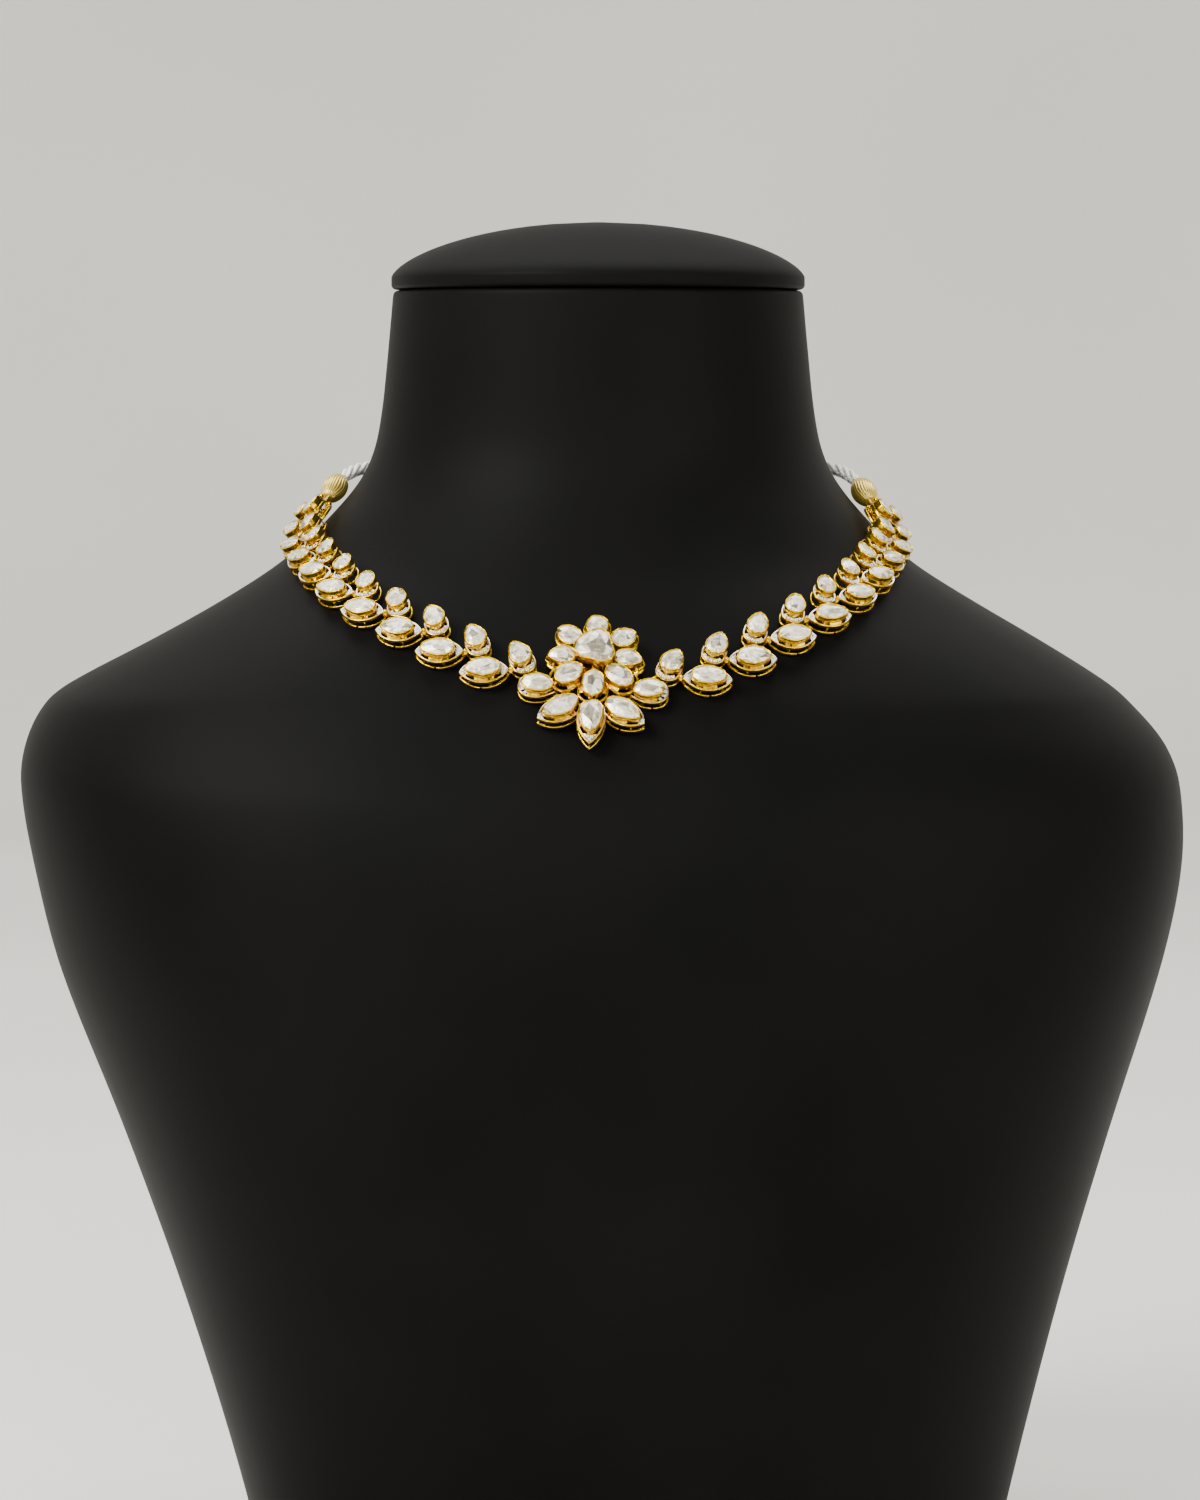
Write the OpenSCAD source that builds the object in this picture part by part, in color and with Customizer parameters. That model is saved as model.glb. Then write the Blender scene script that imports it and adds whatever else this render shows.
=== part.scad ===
// A kundan necklace of flat uncut stones in open gold settings, on the plain
// black neck bust that shows it. Millimetres, +Z up. The bust's flat base
// stands on z = 0 under the axis of its neck, and its chest faces -Y.

/* [Bust] */
// Height of the neck's flat top above the base
neck_top = 326.5; // [310:0.5:345]
// Width of the neck under its cap
neck_w = 105; // [98:0.5:112]
// Width across the shoulders
shoulder_w = 298; // [280:1:320]
// Depth of the chest in front of the neck's axis
chest_d = 110; // [102:0.5:118]
// Depth of the back behind the neck's axis
back_d = 76; // [70:0.5:84]
// Radius of the rounding at the neck's top edge
neck_round = 1.4; // [0.8:0.1:2.4]

/* [Neck cap] */
// Height of the cap's edge under its dome
cap_edge = 3; // [2:0.1:4.5]
// How far the cap's edge stands out past the neck
cap_over = 0.4; // [0.2:0.1:1.5]
// Height of the cap's dome
cap_dome = 14.2; // [9:0.1:18]
// Radius of the rounding under the cap's edge
cap_round = 1.2; // [0.6:0.1:1.8]
// Gap between the cap and the neck
cap_gap = 0.2; // [0.1:0.05:0.3]

/* [Gold work] */
// Width of a rail
rail_w = 0.5; // [0.4:0.05:0.6]
// Thickness of a rail
rail_t = 0.7; // [0.55:0.05:0.85]
// Open height between a base rail and the top rail over it
rail_gap = 1.7; // [1.5:0.05:2]
// Height of a stone's cup above the top rail
cup_h = 1.9; // [1.6:0.05:2.3]
// Wall of a stone's cup
cup_wall = 0.35; // [0.25:0.05:0.45]
// Height of a cup's floor above the top rail
cup_floor = 0.1; // [0.05:0.05:0.2]
// Radius of the posts between the rails
post_r = 0.32; // [0.28:0.02:0.38]
// Width of the bars between a cup and its top rail
bar_w = 0.5; // [0.4:0.05:0.7]
// Gap between the base rails and the bust
seat_gap = 0.3; // [0.25:0.05:0.4]

/* [Stones] */
// Gap round a stone in its cup
stone_gap = 0.15; // [0.12:0.01:0.18]
// Height of a stone's table above its cup
stone_rise = 0.5; // [0.35:0.05:0.7]
// How far a stone's outline strays from even, as a share
stone_stray = 0.035; // [0.01:0.005:0.05]

/* [Links] */
// Distance between the first two links along the chain
pitch = 12.4; // [12.1:0.05:12.8]
// Length of the first leaf
leaf_l = 12.2; // [11.7:0.1:12.6]
// Width of the first leaf
leaf_w = 7.2; // [6.6:0.1:7.4]
// Angle of a leaf to the chain
leaf_turn = 28.5; // [27.5:0.5:31]
// Length of the first pear
pear_l = 9.2; // [8.6:0.1:9.5]
// Width of the first pear
pear_w = 6.2; // [5.8:0.1:6.5]
// Angle of a pear to the chain
pear_turn = 38; // [36:0.5:41]
// Share of its size that the last link keeps
last_share = 0.86; // [0.82:0.01:0.92]

/* [Rings and beads] */
// Smallest radius of a jump ring, to the middle of its wire
ring_r = 1.5; // [1.4:0.05:1.65]
// Radius of a jump ring's wire
ring_wire = 0.25; // [0.2:0.01:0.28]
// Clearance between a ring and what passes through it
ring_gap = 0.15; // [0.12:0.01:0.2]
// Radius of an end ring, to the middle of its wire
end_ring_r = 1.8; // [1.7:0.05:1.9]
// Length of a thread bead
zari_l = 10; // [8:0.5:12]
// Greatest width of a thread bead
zari_w = 6.6; // [5.6:0.1:7.6]
// Thickness of the twisted seed bead bundle
strand_d = 3.2; // [2.6:0.1:3.8]
// Length of the barrel clasp at the nape
clasp_l = 12; // [9:0.5:16]
// Width of the barrel clasp
clasp_w = 5; // [4.2:0.1:6]
// Gap between a strand's ends and the pieces that they meet
strand_gap = 0.2; // [0.1:0.05:0.3]

/* [Pendant] */
// Width of the raised middle stone
heart_w = 8.8; // [8.2:0.1:9.1]
// Height of the middle stone's setting above the others
heart_rise = 2.4; // [2.2:0.1:2.8]
// Distance of the small crown stones from the flower's middle
crown_r = 7.7; // [7.5:0.1:8]
// Length of a crown stone
crown_l = 5.8; // [5.4:0.1:6]
// Width of a crown stone
crown_w = 4.7; // [4.4:0.1:4.8]
// Distance of the inner petals from the flower's middle
inner_r = 8.9; // [8.7:0.1:9.2]
// Length of an inner petal's stone
inner_l = 7; // [6.6:0.1:7.2]
// Width of an inner petal's stone
inner_w = 4.9; // [4.5:0.1:5]
// Distance of the outer petals from the flower's middle
outer_r = 16.9; // [16.7:0.1:17.3]
// Length of an outer petal
outer_l = 12.6; // [12.2:0.1:12.9]
// Width of an outer petal
outer_w = 7.2; // [6.8:0.1:7.4]
// How much higher the flower's inner petals sit than its outer ones
tier_h = 1.2; // [1:0.1:1.6]

/* [Hidden] */
$fn = 48;
gold = "#d9a521";
polki = "#e9e6dc";
leatherette = "#1b1b1a";
thread_gold = "#cdbb6a";
seed_white = "#eeece4";

side_names = ["left_", "right_"];
// Links on each side of the pendant
links = 10;
link_numbers = [1:links];

neck_r = neck_w / 2;
top_rail = rail_t + rail_gap;
cup_rim = top_rail + rail_t + cup_h;
stone_floor = top_rail + rail_t + cup_floor;
ring_level = rail_t + rail_gap / 2;
// Half the distance between a link's two settings, which a solder bead fills
bead_gap = 0.4;

// Sections of the bust from the base up. Heights are shares of neck_top. The
// spreads say how far each side has grown from the neck's size to the size of
// the shoulders, the chest or the back. Squareness is the power of the curve.
// Columns: height, left spread, right spread, front spread, back spread, squareness
sections = [
    [0.000, 0.348, 0.512, 0.530, 0.40, 2.60],
    [0.110, 0.446, 0.598, 0.670, 0.60, 2.60],
    [0.236, 0.579, 0.706, 0.825, 0.78, 2.60],
    [0.362, 0.733, 0.831, 0.945, 0.92, 2.60],
    [0.472, 0.881, 0.948, 1.000, 1.00, 2.60],
    [0.552, 0.950, 1.005, 0.980, 1.00, 2.60],
    [0.615, 0.987, 1.000, 0.900, 0.97, 2.60],
    [0.648, 0.975, 0.958, 0.810, 0.93, 2.60],
    [0.678, 0.925, 0.870, 0.710, 0.87, 2.60],
    [0.694, 0.857, 0.807, 0.655, 0.82, 2.60],
    [0.725, 0.655, 0.640, 0.520, 0.66, 2.60],
    [0.757, 0.460, 0.455, 0.385, 0.47, 2.45],
    [0.788, 0.298, 0.290, 0.255, 0.30, 2.30],
    [0.820, 0.180, 0.176, 0.155, 0.17, 2.20],
    [0.854, 0.083, 0.083, 0.080, 0.08, 2.08],
    [0.889, 0.040, 0.040, 0.040, 0.03, 2.00],
    [0.954, 0.014, 0.014, 0.015, 0.01, 2.00],
    [1.000, 0.000, 0.000, 0.000, 0.00, 2.00]
];
section_steps = 3;
bust_sides = 56;

// The chain's route round the bust, chosen by hand: the angle round the neck
// from the front, the chain's height on the left and on the right as shares of
// neck_top, and how far it floats off the bust in millimetres.
chain_route = [
    [0, 0.696, 0.693, 0],
    [8, 0.703, 0.699, 0],
    [15, 0.713, 0.709, 0],
    [22, 0.725, 0.721, 0],
    [30, 0.740, 0.737, 0],
    [37, 0.752, 0.750, 0],
    [44, 0.764, 0.763, 0],
    [52, 0.777, 0.776, 0],
    [60, 0.788, 0.788, 0],
    [72, 0.802, 0.802, 0.3],
    [83, 0.820, 0.821, 1.6],
    [96, 0.845, 0.845, 2.2],
    [112, 0.856, 0.856, 1.6],
    [140, 0.865, 0.865, 0.2],
    [180, 0.876, 0.876, 0]
];
// Where the flower's middle sits: angle from the front, share of neck_top, and
// how far the flower has swung round, clockwise as it is looked at
pendant_at = [-0.4, 0.719];
pendant_roll = 3.5;

// Crown stones. Columns: angle from the flower's top, radius, turn, length and
// width, all sizes as shares of the crown's own, then taper
crown_rows = [
    [-100, 1.06, -97, 1.06, 0.88, 0.24],
    [-56, 1.02, -62, 1.00, 1.00, 0.06],
    [0, 0.96, 0, 0.94, 1.04, -0.04],
    [56, 1.02, 62, 1.00, 1.00, 0.06],
    [100, 1.06, 97, 1.06, 0.88, 0.24]
];
// Inner petals, with the same columns as the crown, as shares of their own sizes
inner_rows = [
    [-137, 1.00, -126, 1.00, 1.00, 0],
    [180, 1.02, 180, 1.00, 1.00, 0],
    [137, 1.00, 126, 1.00, 1.00, 0]
];
// Outer petals. Columns: angle, radius, turn, length, width, as shares of their
// own sizes, then the form: 0 a leaf, 1 a pear with its tip out, -1 its round end
outer_rows = [
    [-124.5, 0.945, -86, 0.80, 0.94, -1],
    [-154, 1.00, -119, 1.00, 1.00, 0],
    [180, 1.10, 180, 1.00, 0.98, 1],
    [154, 1.00, 119, 1.00, 1.00, 0],
    [124.5, 0.945, 86, 0.80, 0.94, -1]
];

// Shares of a leaf's and a pear's size that their stones take, and their forms.
// Columns: length, width, taper, how pointed the ends are, place along the axis
leaf_stone = [0.66, 0.66, 0.06, 0.16, 0.01];
pear_stone = [0.66, 0.76, 0.20, 0.06, 0.07];
round_out_stone = [0.70, 0.66, -0.05, 0.05, 0.02];

// Value of a table's column at x, on a smooth curve through its rows
function row_below(rows, x) = max(concat([0], [for (i = [0:len(rows) - 2]) if (rows[i][0] <= x) i]));
function slope(rows, i, c) =
    let (a = max(i - 1, 0), b = min(i + 1, len(rows) - 1))
    (rows[b][c] - rows[a][c]) / (rows[b][0] - rows[a][0]);
function smooth(rows, x, c) =
    let (
        i = row_below(rows, x),
        wide = rows[i + 1][0] - rows[i][0],
        t = min(max((x - rows[i][0]) / wide, 0), 1),
        m0 = slope(rows, i, c) * wide,
        m1 = slope(rows, i + 1, c) * wide
    )
    (2 * pow(t, 3) - 3 * pow(t, 2) + 1) * rows[i][c] + (pow(t, 3) - 2 * pow(t, 2) + t) * m0
        + (3 * pow(t, 2) - 2 * pow(t, 3)) * rows[i + 1][c] + (pow(t, 3) - pow(t, 2)) * m1;

// Half sizes of the bust's section at height z: left, right, front, back, power
function section_at(z) =
    let (h = z / neck_top)
    [
        for (c = [1, 2]) neck_r + (shoulder_w / 2 - neck_r) * smooth(sections, h, c),
        neck_r + (chest_d - neck_r) * smooth(sections, h, 3),
        neck_r + (back_d - neck_r) * smooth(sections, h, 4),
        smooth(sections, h, 5)
    ];
// Radius of that section at an angle round the neck, 0 at the front, right positive
function section_r(s, a) =
    pow(pow(abs(sin(a)) / (sin(a) < 0 ? s[0] : s[1]), s[4])
        + pow(abs(cos(a)) / (cos(a) > 0 ? s[2] : s[3]), s[4]), -1 / s[4]);
function round_neck(r, a, z) = [r * sin(a), -r * cos(a), z];
function on_bust(a, z) = round_neck(section_r(section_at(z), a), a, z);

function unit(v) = v / norm(v);
function bust_normal(a, z) =
    unit(cross(on_bust(a + 0.5, z) - on_bust(a - 0.5, z), on_bust(a, z + 0.5) - on_bust(a, z - 0.5)));
// How far a point stands off the bust, along the direction n
function stand_off(p, n) =
    let (a = atan2(p[0], -p[1]))
    (norm([p[0], p[1]]) - section_r(section_at(p[2]), a)) * max(n * [sin(a), -cos(a), 0], 0.3);

// A frame is [origin, along, up, out]. Its side is -1 left, 1 right
function route_point(side, a) =
    let (z = neck_top * smooth(chain_route, a, side < 0 ? 1 : 2))
    on_bust(side * a, z) + bust_normal(side * a, z) * smooth(chain_route, a, 3);
route_angles = [for (a = [0:2.5:180]) a];
route_points = [for (side = [-1, 1]) [for (a = route_angles) route_point(side, a)]];
// Length run along the route up to each of its angles, for each side
route_runs = [for (pts = route_points) [
    for (i = 0, run = 0; i < len(pts); i = i + 1, run = run + (i < len(pts) ? norm(pts[i] - pts[i - 1]) : 0))
        run
]];
function side_index(side) = side < 0 ? 0 : 1;
function pairs_of(a, b) = [for (i = [0:len(a) - 1]) [a[i], b[i]]];
angle_by_run = [for (i = [0, 1]) pairs_of(route_runs[i], route_angles)];
run_by_angle = [for (i = [0, 1]) pairs_of(route_angles, route_runs[i])];
function angle_at(side, run) = lookup(run, angle_by_run[side_index(side)]);
function run_at(side, a) = lookup(a, run_by_angle[side_index(side)]);
function route_frame(side, run) =
    let (
        a = angle_at(side, run),
        o = route_point(side, a),
        along = unit(route_point(side, a + 1) - route_point(side, a - 1)),
        n = bust_normal(side * a, o[2]),
        out = unit(n - along * (n * along))
    )
    [o, along, side * cross(out, along), out];
function spot(frame, p) =
    frame[0] + frame[1] * p[0] + frame[2] * p[1] + frame[3] * (len(p) > 2 ? p[2] : 0);
// The frame moved out until the given spots of its plane clear the bust
function seated(frame, spots, extra = 0) =
    let (low = min([for (p = spots) stand_off(spot(frame, p), frame[3])]))
    [frame[0] + frame[3] * (seat_gap + extra - low), frame[1], frame[2], frame[3]];
module in_frame(frame, side) {
    o = frame[0];
    x = side * frame[1];
    y = frame[2];
    n = frame[3];
    multmatrix([
        [x[0], y[0], n[0], o[0]],
        [x[1], y[1], n[1], o[1]],
        [x[2], y[2], n[2], o[2]],
        [0, 0, 0, 1]
    ])
        if (side < 0) mirror([1, 0, 0]) children();
        else children();
}

// Radius of an arc with the given half chord and height
function arc_r(half, high) = (pow(half, 2) + pow(high, 2)) / (2 * high);
function along_turn(r, turn) = [r * cos(turn), r * sin(turn)];

// A leaf outline with a tip at each end of X, grown by an even width
module leaf2d(l, w, grow = 0) {
    r = arc_r(l / 2, w / 2);
    intersection_for (s = [-1, 1])
        translate([0, s * (r - w / 2)]) circle(r + grow);
}
// Half the leaf's width at x
function leaf_half(l, w, x) = let (r = arc_r(l / 2, w / 2)) sqrt(pow(r, 2) - pow(x, 2)) - r + w / 2;

// A pear outline with its tip at +X and its round end at -X: two arcs that are
// widest at its belly, ended by a circle
pear_belly = 0.39;
pear_round = 0.52;
function pear_belly_x(l) = l * (pear_belly - 0.5);
function pear_arc(l, w) = arc_r(l / 2 - pear_belly_x(l), w / 2);
function pear_round_x(l, w) = pear_round * w - l / 2;
module pear2d(l, w, grow = 0) {
    r = pear_arc(l, w);
    intersection() {
        intersection_for (s = [-1, 1])
            translate([pear_belly_x(l), s * (r - w / 2)]) circle(r + grow);
        translate([pear_round_x(l, w), 0]) {
            circle(pear_round * w + grow);
            translate([0, -w]) square([l, 2 * w]);
        }
    }
}
function pear_half(l, w, x) =
    let (r = pear_arc(l, w), c = pear_round_x(l, w))
    min(sqrt(pow(r, 2) - pow(x - pear_belly_x(l), 2)) - r + w / 2,
        x > c ? w : sqrt(pow(pear_round * w, 2) - pow(x - c, 2)));

// A petal's form is 0 for a leaf, 1 for a pear and -1 for a pear turned round
function petal_half(form, size, x) =
    form == 0 ? leaf_half(size[0], size[1], x) : pear_half(size[0], size[1], form * x);
module petal2d(form, l, w, grow = 0) {
    if (form == 0) leaf2d(l, w, grow);
    else if (form > 0) pear2d(l, w, grow);
    else mirror([1, 0, 0]) pear2d(l, w, grow);
}

// A stone is [length, width, taper, point, three, seed]
stone_sides = 12;
function stone_ring(stone, grow = 0) = [
    for (i = [0:stone_sides - 1])
        let (
            t = 360 * i / stone_sides,
            wave = 131 * stone[5] + 97 * i * (1 + stone[5] % 3),
            stray = 1 + stone_stray * sin(wave) + stone[4] * cos(3 * t)
        )
        [
            (stone[0] / 2 + grow) * cos(t) * stray,
            (stone[1] / 2 + grow) * sin(t) * stray * (1 - stone[2] * cos(t)) * (1 - stone[3] * pow(cos(t), 2))
        ]
];
function ring_at(ring, share, z) = [for (p = ring) [p[0] * share, p[1] * share, z]];

// A flat uncut stone: a keel, a girdle at the cup's rim, facets and a table
module stone(stone, floor_z, rim_z) {
    n = stone_sides;
    half = n / 2;
    ring = stone_ring(stone);
    tables = [
        for (j = [0:half - 1])
            let (share = 0.52 + 0.1 * sin(stone[5] * 77 + 131 * j))
            [ring[2 * j][0] * share, ring[2 * j][1] * share, rim_z + stone_rise]
    ];
    keel_share = 0.93;
    points = concat(ring_at(ring, keel_share, floor_z + stone_gap), ring_at(ring, 1, rim_z), tables);
    faces = concat(
        [[for (i = [0:n - 1]) i]],
        [for (i = [0:n - 1]) let (k = (i + 1) % n) [i, n + i, n + k, k]],
        [for (j = [0:half - 1]) let (a = n + 2 * j, b = a + 1, t = 2 * n + j) [a, t, b]],
        [for (j = [0:half - 1])
            let (b = n + 2 * j + 1, c = n + (2 * j + 2) % n, t = 2 * n + (j + 1) % half) [b, t, c]],
        [for (j = [0:half - 1])
            let (b = n + 2 * j + 1, t = 2 * n + j, u = 2 * n + (j + 1) % half) [t, u, b]],
        [[for (j = [half - 1:-1:0]) 2 * n + j]]
    );
    color(polki) polyhedron(points, faces);
}

// The space that a stone needs, with its gap all round
module pocket(stone, floor_z, rim_z) {
    translate([0, 0, floor_z]) linear_extrude(rim_z + stone_rise + stone_gap - floor_z)
        polygon(stone_ring(stone, stone_gap));
}
// The cup that holds a stone, from low_z up to its rim
module cup(stone, low_z, floor_z, rim_z) {
    difference() {
        translate([0, 0, low_z]) linear_extrude(rim_z - low_z)
            polygon(stone_ring(stone, stone_gap + cup_wall));
        pocket(stone, floor_z, rim_z);
    }
}

// Share of a stone's length between its middle and the bars, and how far the tip
// plates lap under the cup's wall
bar_share = 0.22;
plate_lap = 0.3;
// An open setting: a base rail, posts, a top rail with tip plates and bars, a cup.
// The base rail is broken at break_x on the lower side. Posts are given as spots
module setting(form, l, w, stone, stone_x, posts, break_x, lift = 0) {
    plate_x = stone[0] / 2 + stone_gap + cup_wall;
    linear_extrude(rail_t)
        difference() {
            petal2d(form, l, w);
            petal2d(form, l, w, -rail_w);
            translate([break_x - rail_w / 2, -w]) square([rail_w, w]);
        }
    translate([0, 0, top_rail + lift]) linear_extrude(rail_t)
        difference() {
            petal2d(form, l, w);
            difference() {
                petal2d(form, l, w, -rail_w);
                for (s = [-1, 1]) {
                    translate([stone_x + s * bar_share * stone[0], 0]) square([bar_w, 2 * w], center = true);
                    translate([stone_x + s * (plate_x - plate_lap + l / 2), 0])
                        square([l, 2 * w], center = true);
                }
            }
        }
    for (p = posts)
        translate([p[0], p[1], rail_t / 2]) cylinder(h = top_rail + lift, r = post_r);
    translate([stone_x, 0, lift]) cup(stone, top_rail, stone_floor, cup_rim);
}

// Size of link k, from the first link's size down to the last one's share of it
function link_share(k) = 1 - (1 - last_share) * (k - 1) / (links - 1);
function leaf_size(k) = [leaf_l, leaf_w] * link_share(k);
function pear_size(k) = [pear_l, pear_w] * link_share(k);
function sized_stone(size, form, seed) = [size[0] * form[0], size[1] * form[1], form[2], form[3], 0, seed];
function leaf_gem(k, side) = sized_stone(leaf_size(k), leaf_stone, 2 * k + side);
function pear_gem(k, side) = sized_stone(pear_size(k), pear_stone, 3 * k + side + 40);
// Both settings meet at the solder bead, which is the link's origin
pear_lead = 0.19;
function leaf_middle(k) = along_turn(leaf_size(k)[0] / 2 + bead_gap, -leaf_turn);
function pear_middle(k) =
    along_turn(pear_size(k)[1] / 2 + bead_gap, pear_turn + 90)
    + along_turn(pear_lead * pear_size(k)[0], pear_turn);
// The post on the leaf that the next ring holds, and the one at the pear's round end
ring_post_x = -0.03;
function leaf_post(k) =
    let (s = leaf_size(k), x = ring_post_x * s[0])
    [x, leaf_half(s[0], s[1], x) - rail_w / 2];
function turned(p, turn) = [p[0] * cos(turn) - p[1] * sin(turn), p[0] * sin(turn) + p[1] * cos(turn)];
function leaf_post_spot(k) = leaf_middle(k) + turned(leaf_post(k), -leaf_turn);
function pear_post_spot(k) = pear_middle(k) - along_turn(pear_size(k)[0] / 2 - rail_w / 2, pear_turn);

// Spots under a setting that have to clear the bust
function feet(size) = [[0, 0], [size[0], 0] / 2, [-size[0], 0] / 2, [0, size[1]] / 2, [0, -size[1]] / 2];
function link_feet(k) = concat(
    [for (p = feet(leaf_size(k))) leaf_middle(k) + turned(p, -leaf_turn)],
    [for (p = feet(pear_size(k))) pear_middle(k) + turned(p, pear_turn)]
);

// A spot of a petal, in the flower's plane. The row gives its angle, radius and turn
function petal_polar(angle, r) = [r * sin(angle), r * cos(angle)];
function petal_spot(row, r, p) = petal_polar(row[0], row[1] * r) + turned(p, 90 - row[2]);
function outer_size(i) = [outer_l * outer_rows[i][3], outer_w * outer_rows[i][4]];

// The pendant's frame, seated on the bust. It leans as the bust does this far below
pendant_lean = 6;
pendant_feet = concat(
    [for (i = [0:4], p = feet(outer_size(i))) petal_spot(outer_rows[i], outer_r, p)],
    [for (row = crown_rows) petal_spot(row, crown_r, [crown_l / 2, 0])]
);
pendant_frame_raw =
    let (
        a = pendant_at[0],
        z = pendant_at[1] * neck_top,
        out = bust_normal(a, z - pendant_lean),
        flat = unit(cross([0, 0, 1], out)),
        rise = cross(out, flat)
    )
    [
        on_bust(a, z),
        flat * cos(pendant_roll) - rise * sin(pendant_roll),
        flat * sin(pendant_roll) + rise * cos(pendant_roll),
        out
    ];
pendant_place = seated(pendant_frame_raw, pendant_feet);
// The post on a side petal's widest part that the first ring of a chain holds
side_post_x = 0.12;
side_post_in = 0.03;
function side_post(size) = [side_post_x * size[0], size[1] / 2 - rail_w / 2 - side_post_in * size[0]];
function side_post_spot(side) =
    let (p = petal_spot(outer_rows[4], outer_r, side_post(outer_size(4))))
    [side * p[0], p[1]];

// Run of link k's origin along the route
// Distance along the chain from each side petal's post to the first pear's
joint_steps = [2.1, 2.9];
function first_run(side) =
    let (c = spot(pendant_place, side_post_spot(side)))
    run_at(side, abs(atan2(c[0], -c[1]))) + joint_steps[side_index(side)] - pear_post_spot(1)[0];
function link_run(side, k) =
    first_run(side) + pitch * (k == 1 ? 0 : sum_shares(k - 1));
function sum_shares(k) = k < 1 ? 0 : (link_share(k) + link_share(k + 1)) / 2 + sum_shares(k - 1);
// A link's frame is taken at its middle, so that it sits evenly on the curve
link_lead = 3;
link_places = [for (side = [-1, 1]) [
    for (k = link_numbers)
        let (
            raw = route_frame(side, link_run(side, k) + link_lead),
            back = [raw[0] - raw[1] * link_lead, raw[1], raw[2], raw[3]],
            float = smooth(chain_route, angle_at(side, link_run(side, k)), 3)
        )
        seated(back, link_feet(k), float)
]];
function link_place(side, k) = link_places[side_index(side)][k - 1];

// The two posts that ring k holds, and the plane that it lies in
function ring_ends(side, k) = [
    k == 1 ? spot(pendant_place, concat(side_post_spot(side), ring_level))
        : spot(link_place(side, k - 1), concat(leaf_post_spot(k - 1), ring_level)),
    spot(link_place(side, k), concat(pear_post_spot(k), ring_level))
];
function ring_frame(side, k) =
    let (
        ends = ring_ends(side, k),
        before = k == 1 ? pendant_place : link_place(side, k - 1),
        out = unit(before[3] + link_place(side, k)[3]),
        way = unit(ends[1] - ends[0]),
        along = unit(way - out * (way * out))
    )
    [(ends[0] + ends[1]) / 2, along, cross(out, along), out];
function ring_size(side, k) =
    let (ends = ring_ends(side, k))
    max(ring_r, norm(ends[1] - ends[0]) / 2 + post_r + ring_wire + ring_gap);

module ring(r, wire) {
    rotate_extrude() translate([r, 0]) circle(wire);
}

// The clasp end of a side: last post, last jump ring, end ring, thread bead
function last_frame(side) =
    let (
        place = link_place(side, links),
        post = spot(place, concat(leaf_post_spot(links), ring_level)),
        raw = route_frame(side, link_run(side, links) + leaf_post_spot(links)[0] + zari_l / 2),
        along = raw[1],
        out = unit(place[3] - along * (place[3] * along))
    )
    [post, along, side * cross(out, along), out];
// How much closer two linked rings hang than their clearance asks for
ring_slack = 0.55;
last_ring_x = ring_r - ring_wire - post_r - ring_gap;
end_ring_x = last_ring_x + ring_r + end_ring_r - 2 * ring_wire - ring_gap - ring_slack;
// The loop on a thread bead, and the share of a full spindle between the bead's cut ends
loop_r = 1.35;
loop_wire = 0.35;
loop_x = end_ring_x + end_ring_r + loop_r - ring_wire - loop_wire - ring_gap - ring_slack;
zari_x = loop_x + loop_r + zari_l / 2 - loop_wire / 2;
zari_cut = 0.82;

// Middle of a strand's start behind its thread bead, and the runs where it starts and stops
function strand_end(side) = spot(last_frame(side), [zari_x + zari_l / 2 + strand_gap, 0]);
function strand_start(side) = let (c = strand_end(side)) run_at(side, abs(atan2(c[0], -c[1])));
function strand_stop(side) = run_at(side, 180) - clasp_l / 2 - strand_gap;
function strand_middle(side, run) =
    let (f = route_frame(side, run))
    f[0] + f[3] * (seat_gap + strand_d / 2);
// Share of a strand's length over which it comes down from the bead to the bust
strand_lead = 0.35;

// The gems, the bust and the gold work

module bust_body() {
    edge_z = neck_top - neck_round;
    heights = concat(
        [for (i = [0:len(sections) - 2], k = [0:section_steps - 1])
            let (z = neck_top * (sections[i][0] + (sections[i + 1][0] - sections[i][0]) * k / section_steps))
            if (z < edge_z - neck_round) z],
        [edge_z]
    );
    body = [for (z = heights) let (s = section_at(z))
        [for (j = [0:bust_sides - 1]) let (a = 360 * j / bust_sides) round_neck(section_r(s, a), a, z)]];
    rim = [for (turn = [30:30:90]) let (s = section_at(edge_z), inset = neck_round * (1 - cos(turn)))
        [for (j = [0:bust_sides - 1]) let (a = 360 * j / bust_sides)
            round_neck(section_r(s, a) - inset, a, edge_z + neck_round * sin(turn))]];
    color(leatherette) loft(concat(body, rim));
}

// A closed solid through rings of points, each ring counterclockwise from its end
module loft(rings) {
    n = len(rings);
    m = len(rings[0]);
    polyhedron(
        [for (r = rings) each r],
        concat(
            [[for (j = [0:m - 1]) j]],
            [for (i = [0:n - 2], j = [0:m - 1]) let (k = (j + 1) % m)
                [i * m + j, (i + 1) * m + j, (i + 1) * m + k, i * m + k]],
            [[for (j = [m - 1:-1:0]) (n - 1) * m + j]]
        )
    );
}

module neck_cap() {
    r = neck_r + cap_over;
    low = neck_top + cap_gap;
    dome_low = low + cap_edge;
    dome_power = 1.55;
    steps = 14;
    profile = concat(
        [[0, low], [r - cap_round, low]],
        [for (turn = [30:30:90]) [r - cap_round * (1 - sin(turn)), low + cap_round * (1 - cos(turn))]],
        [for (i = [0:steps - 1]) let (t = pow(i / steps, 1.3))
            [r * sqrt(1 - pow(t, dome_power)), dome_low + cap_dome * t]],
        [[0, dome_low + cap_dome]]
    );
    color(leatherette) rotate_extrude($fn = 96) polygon(profile);
}

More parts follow.
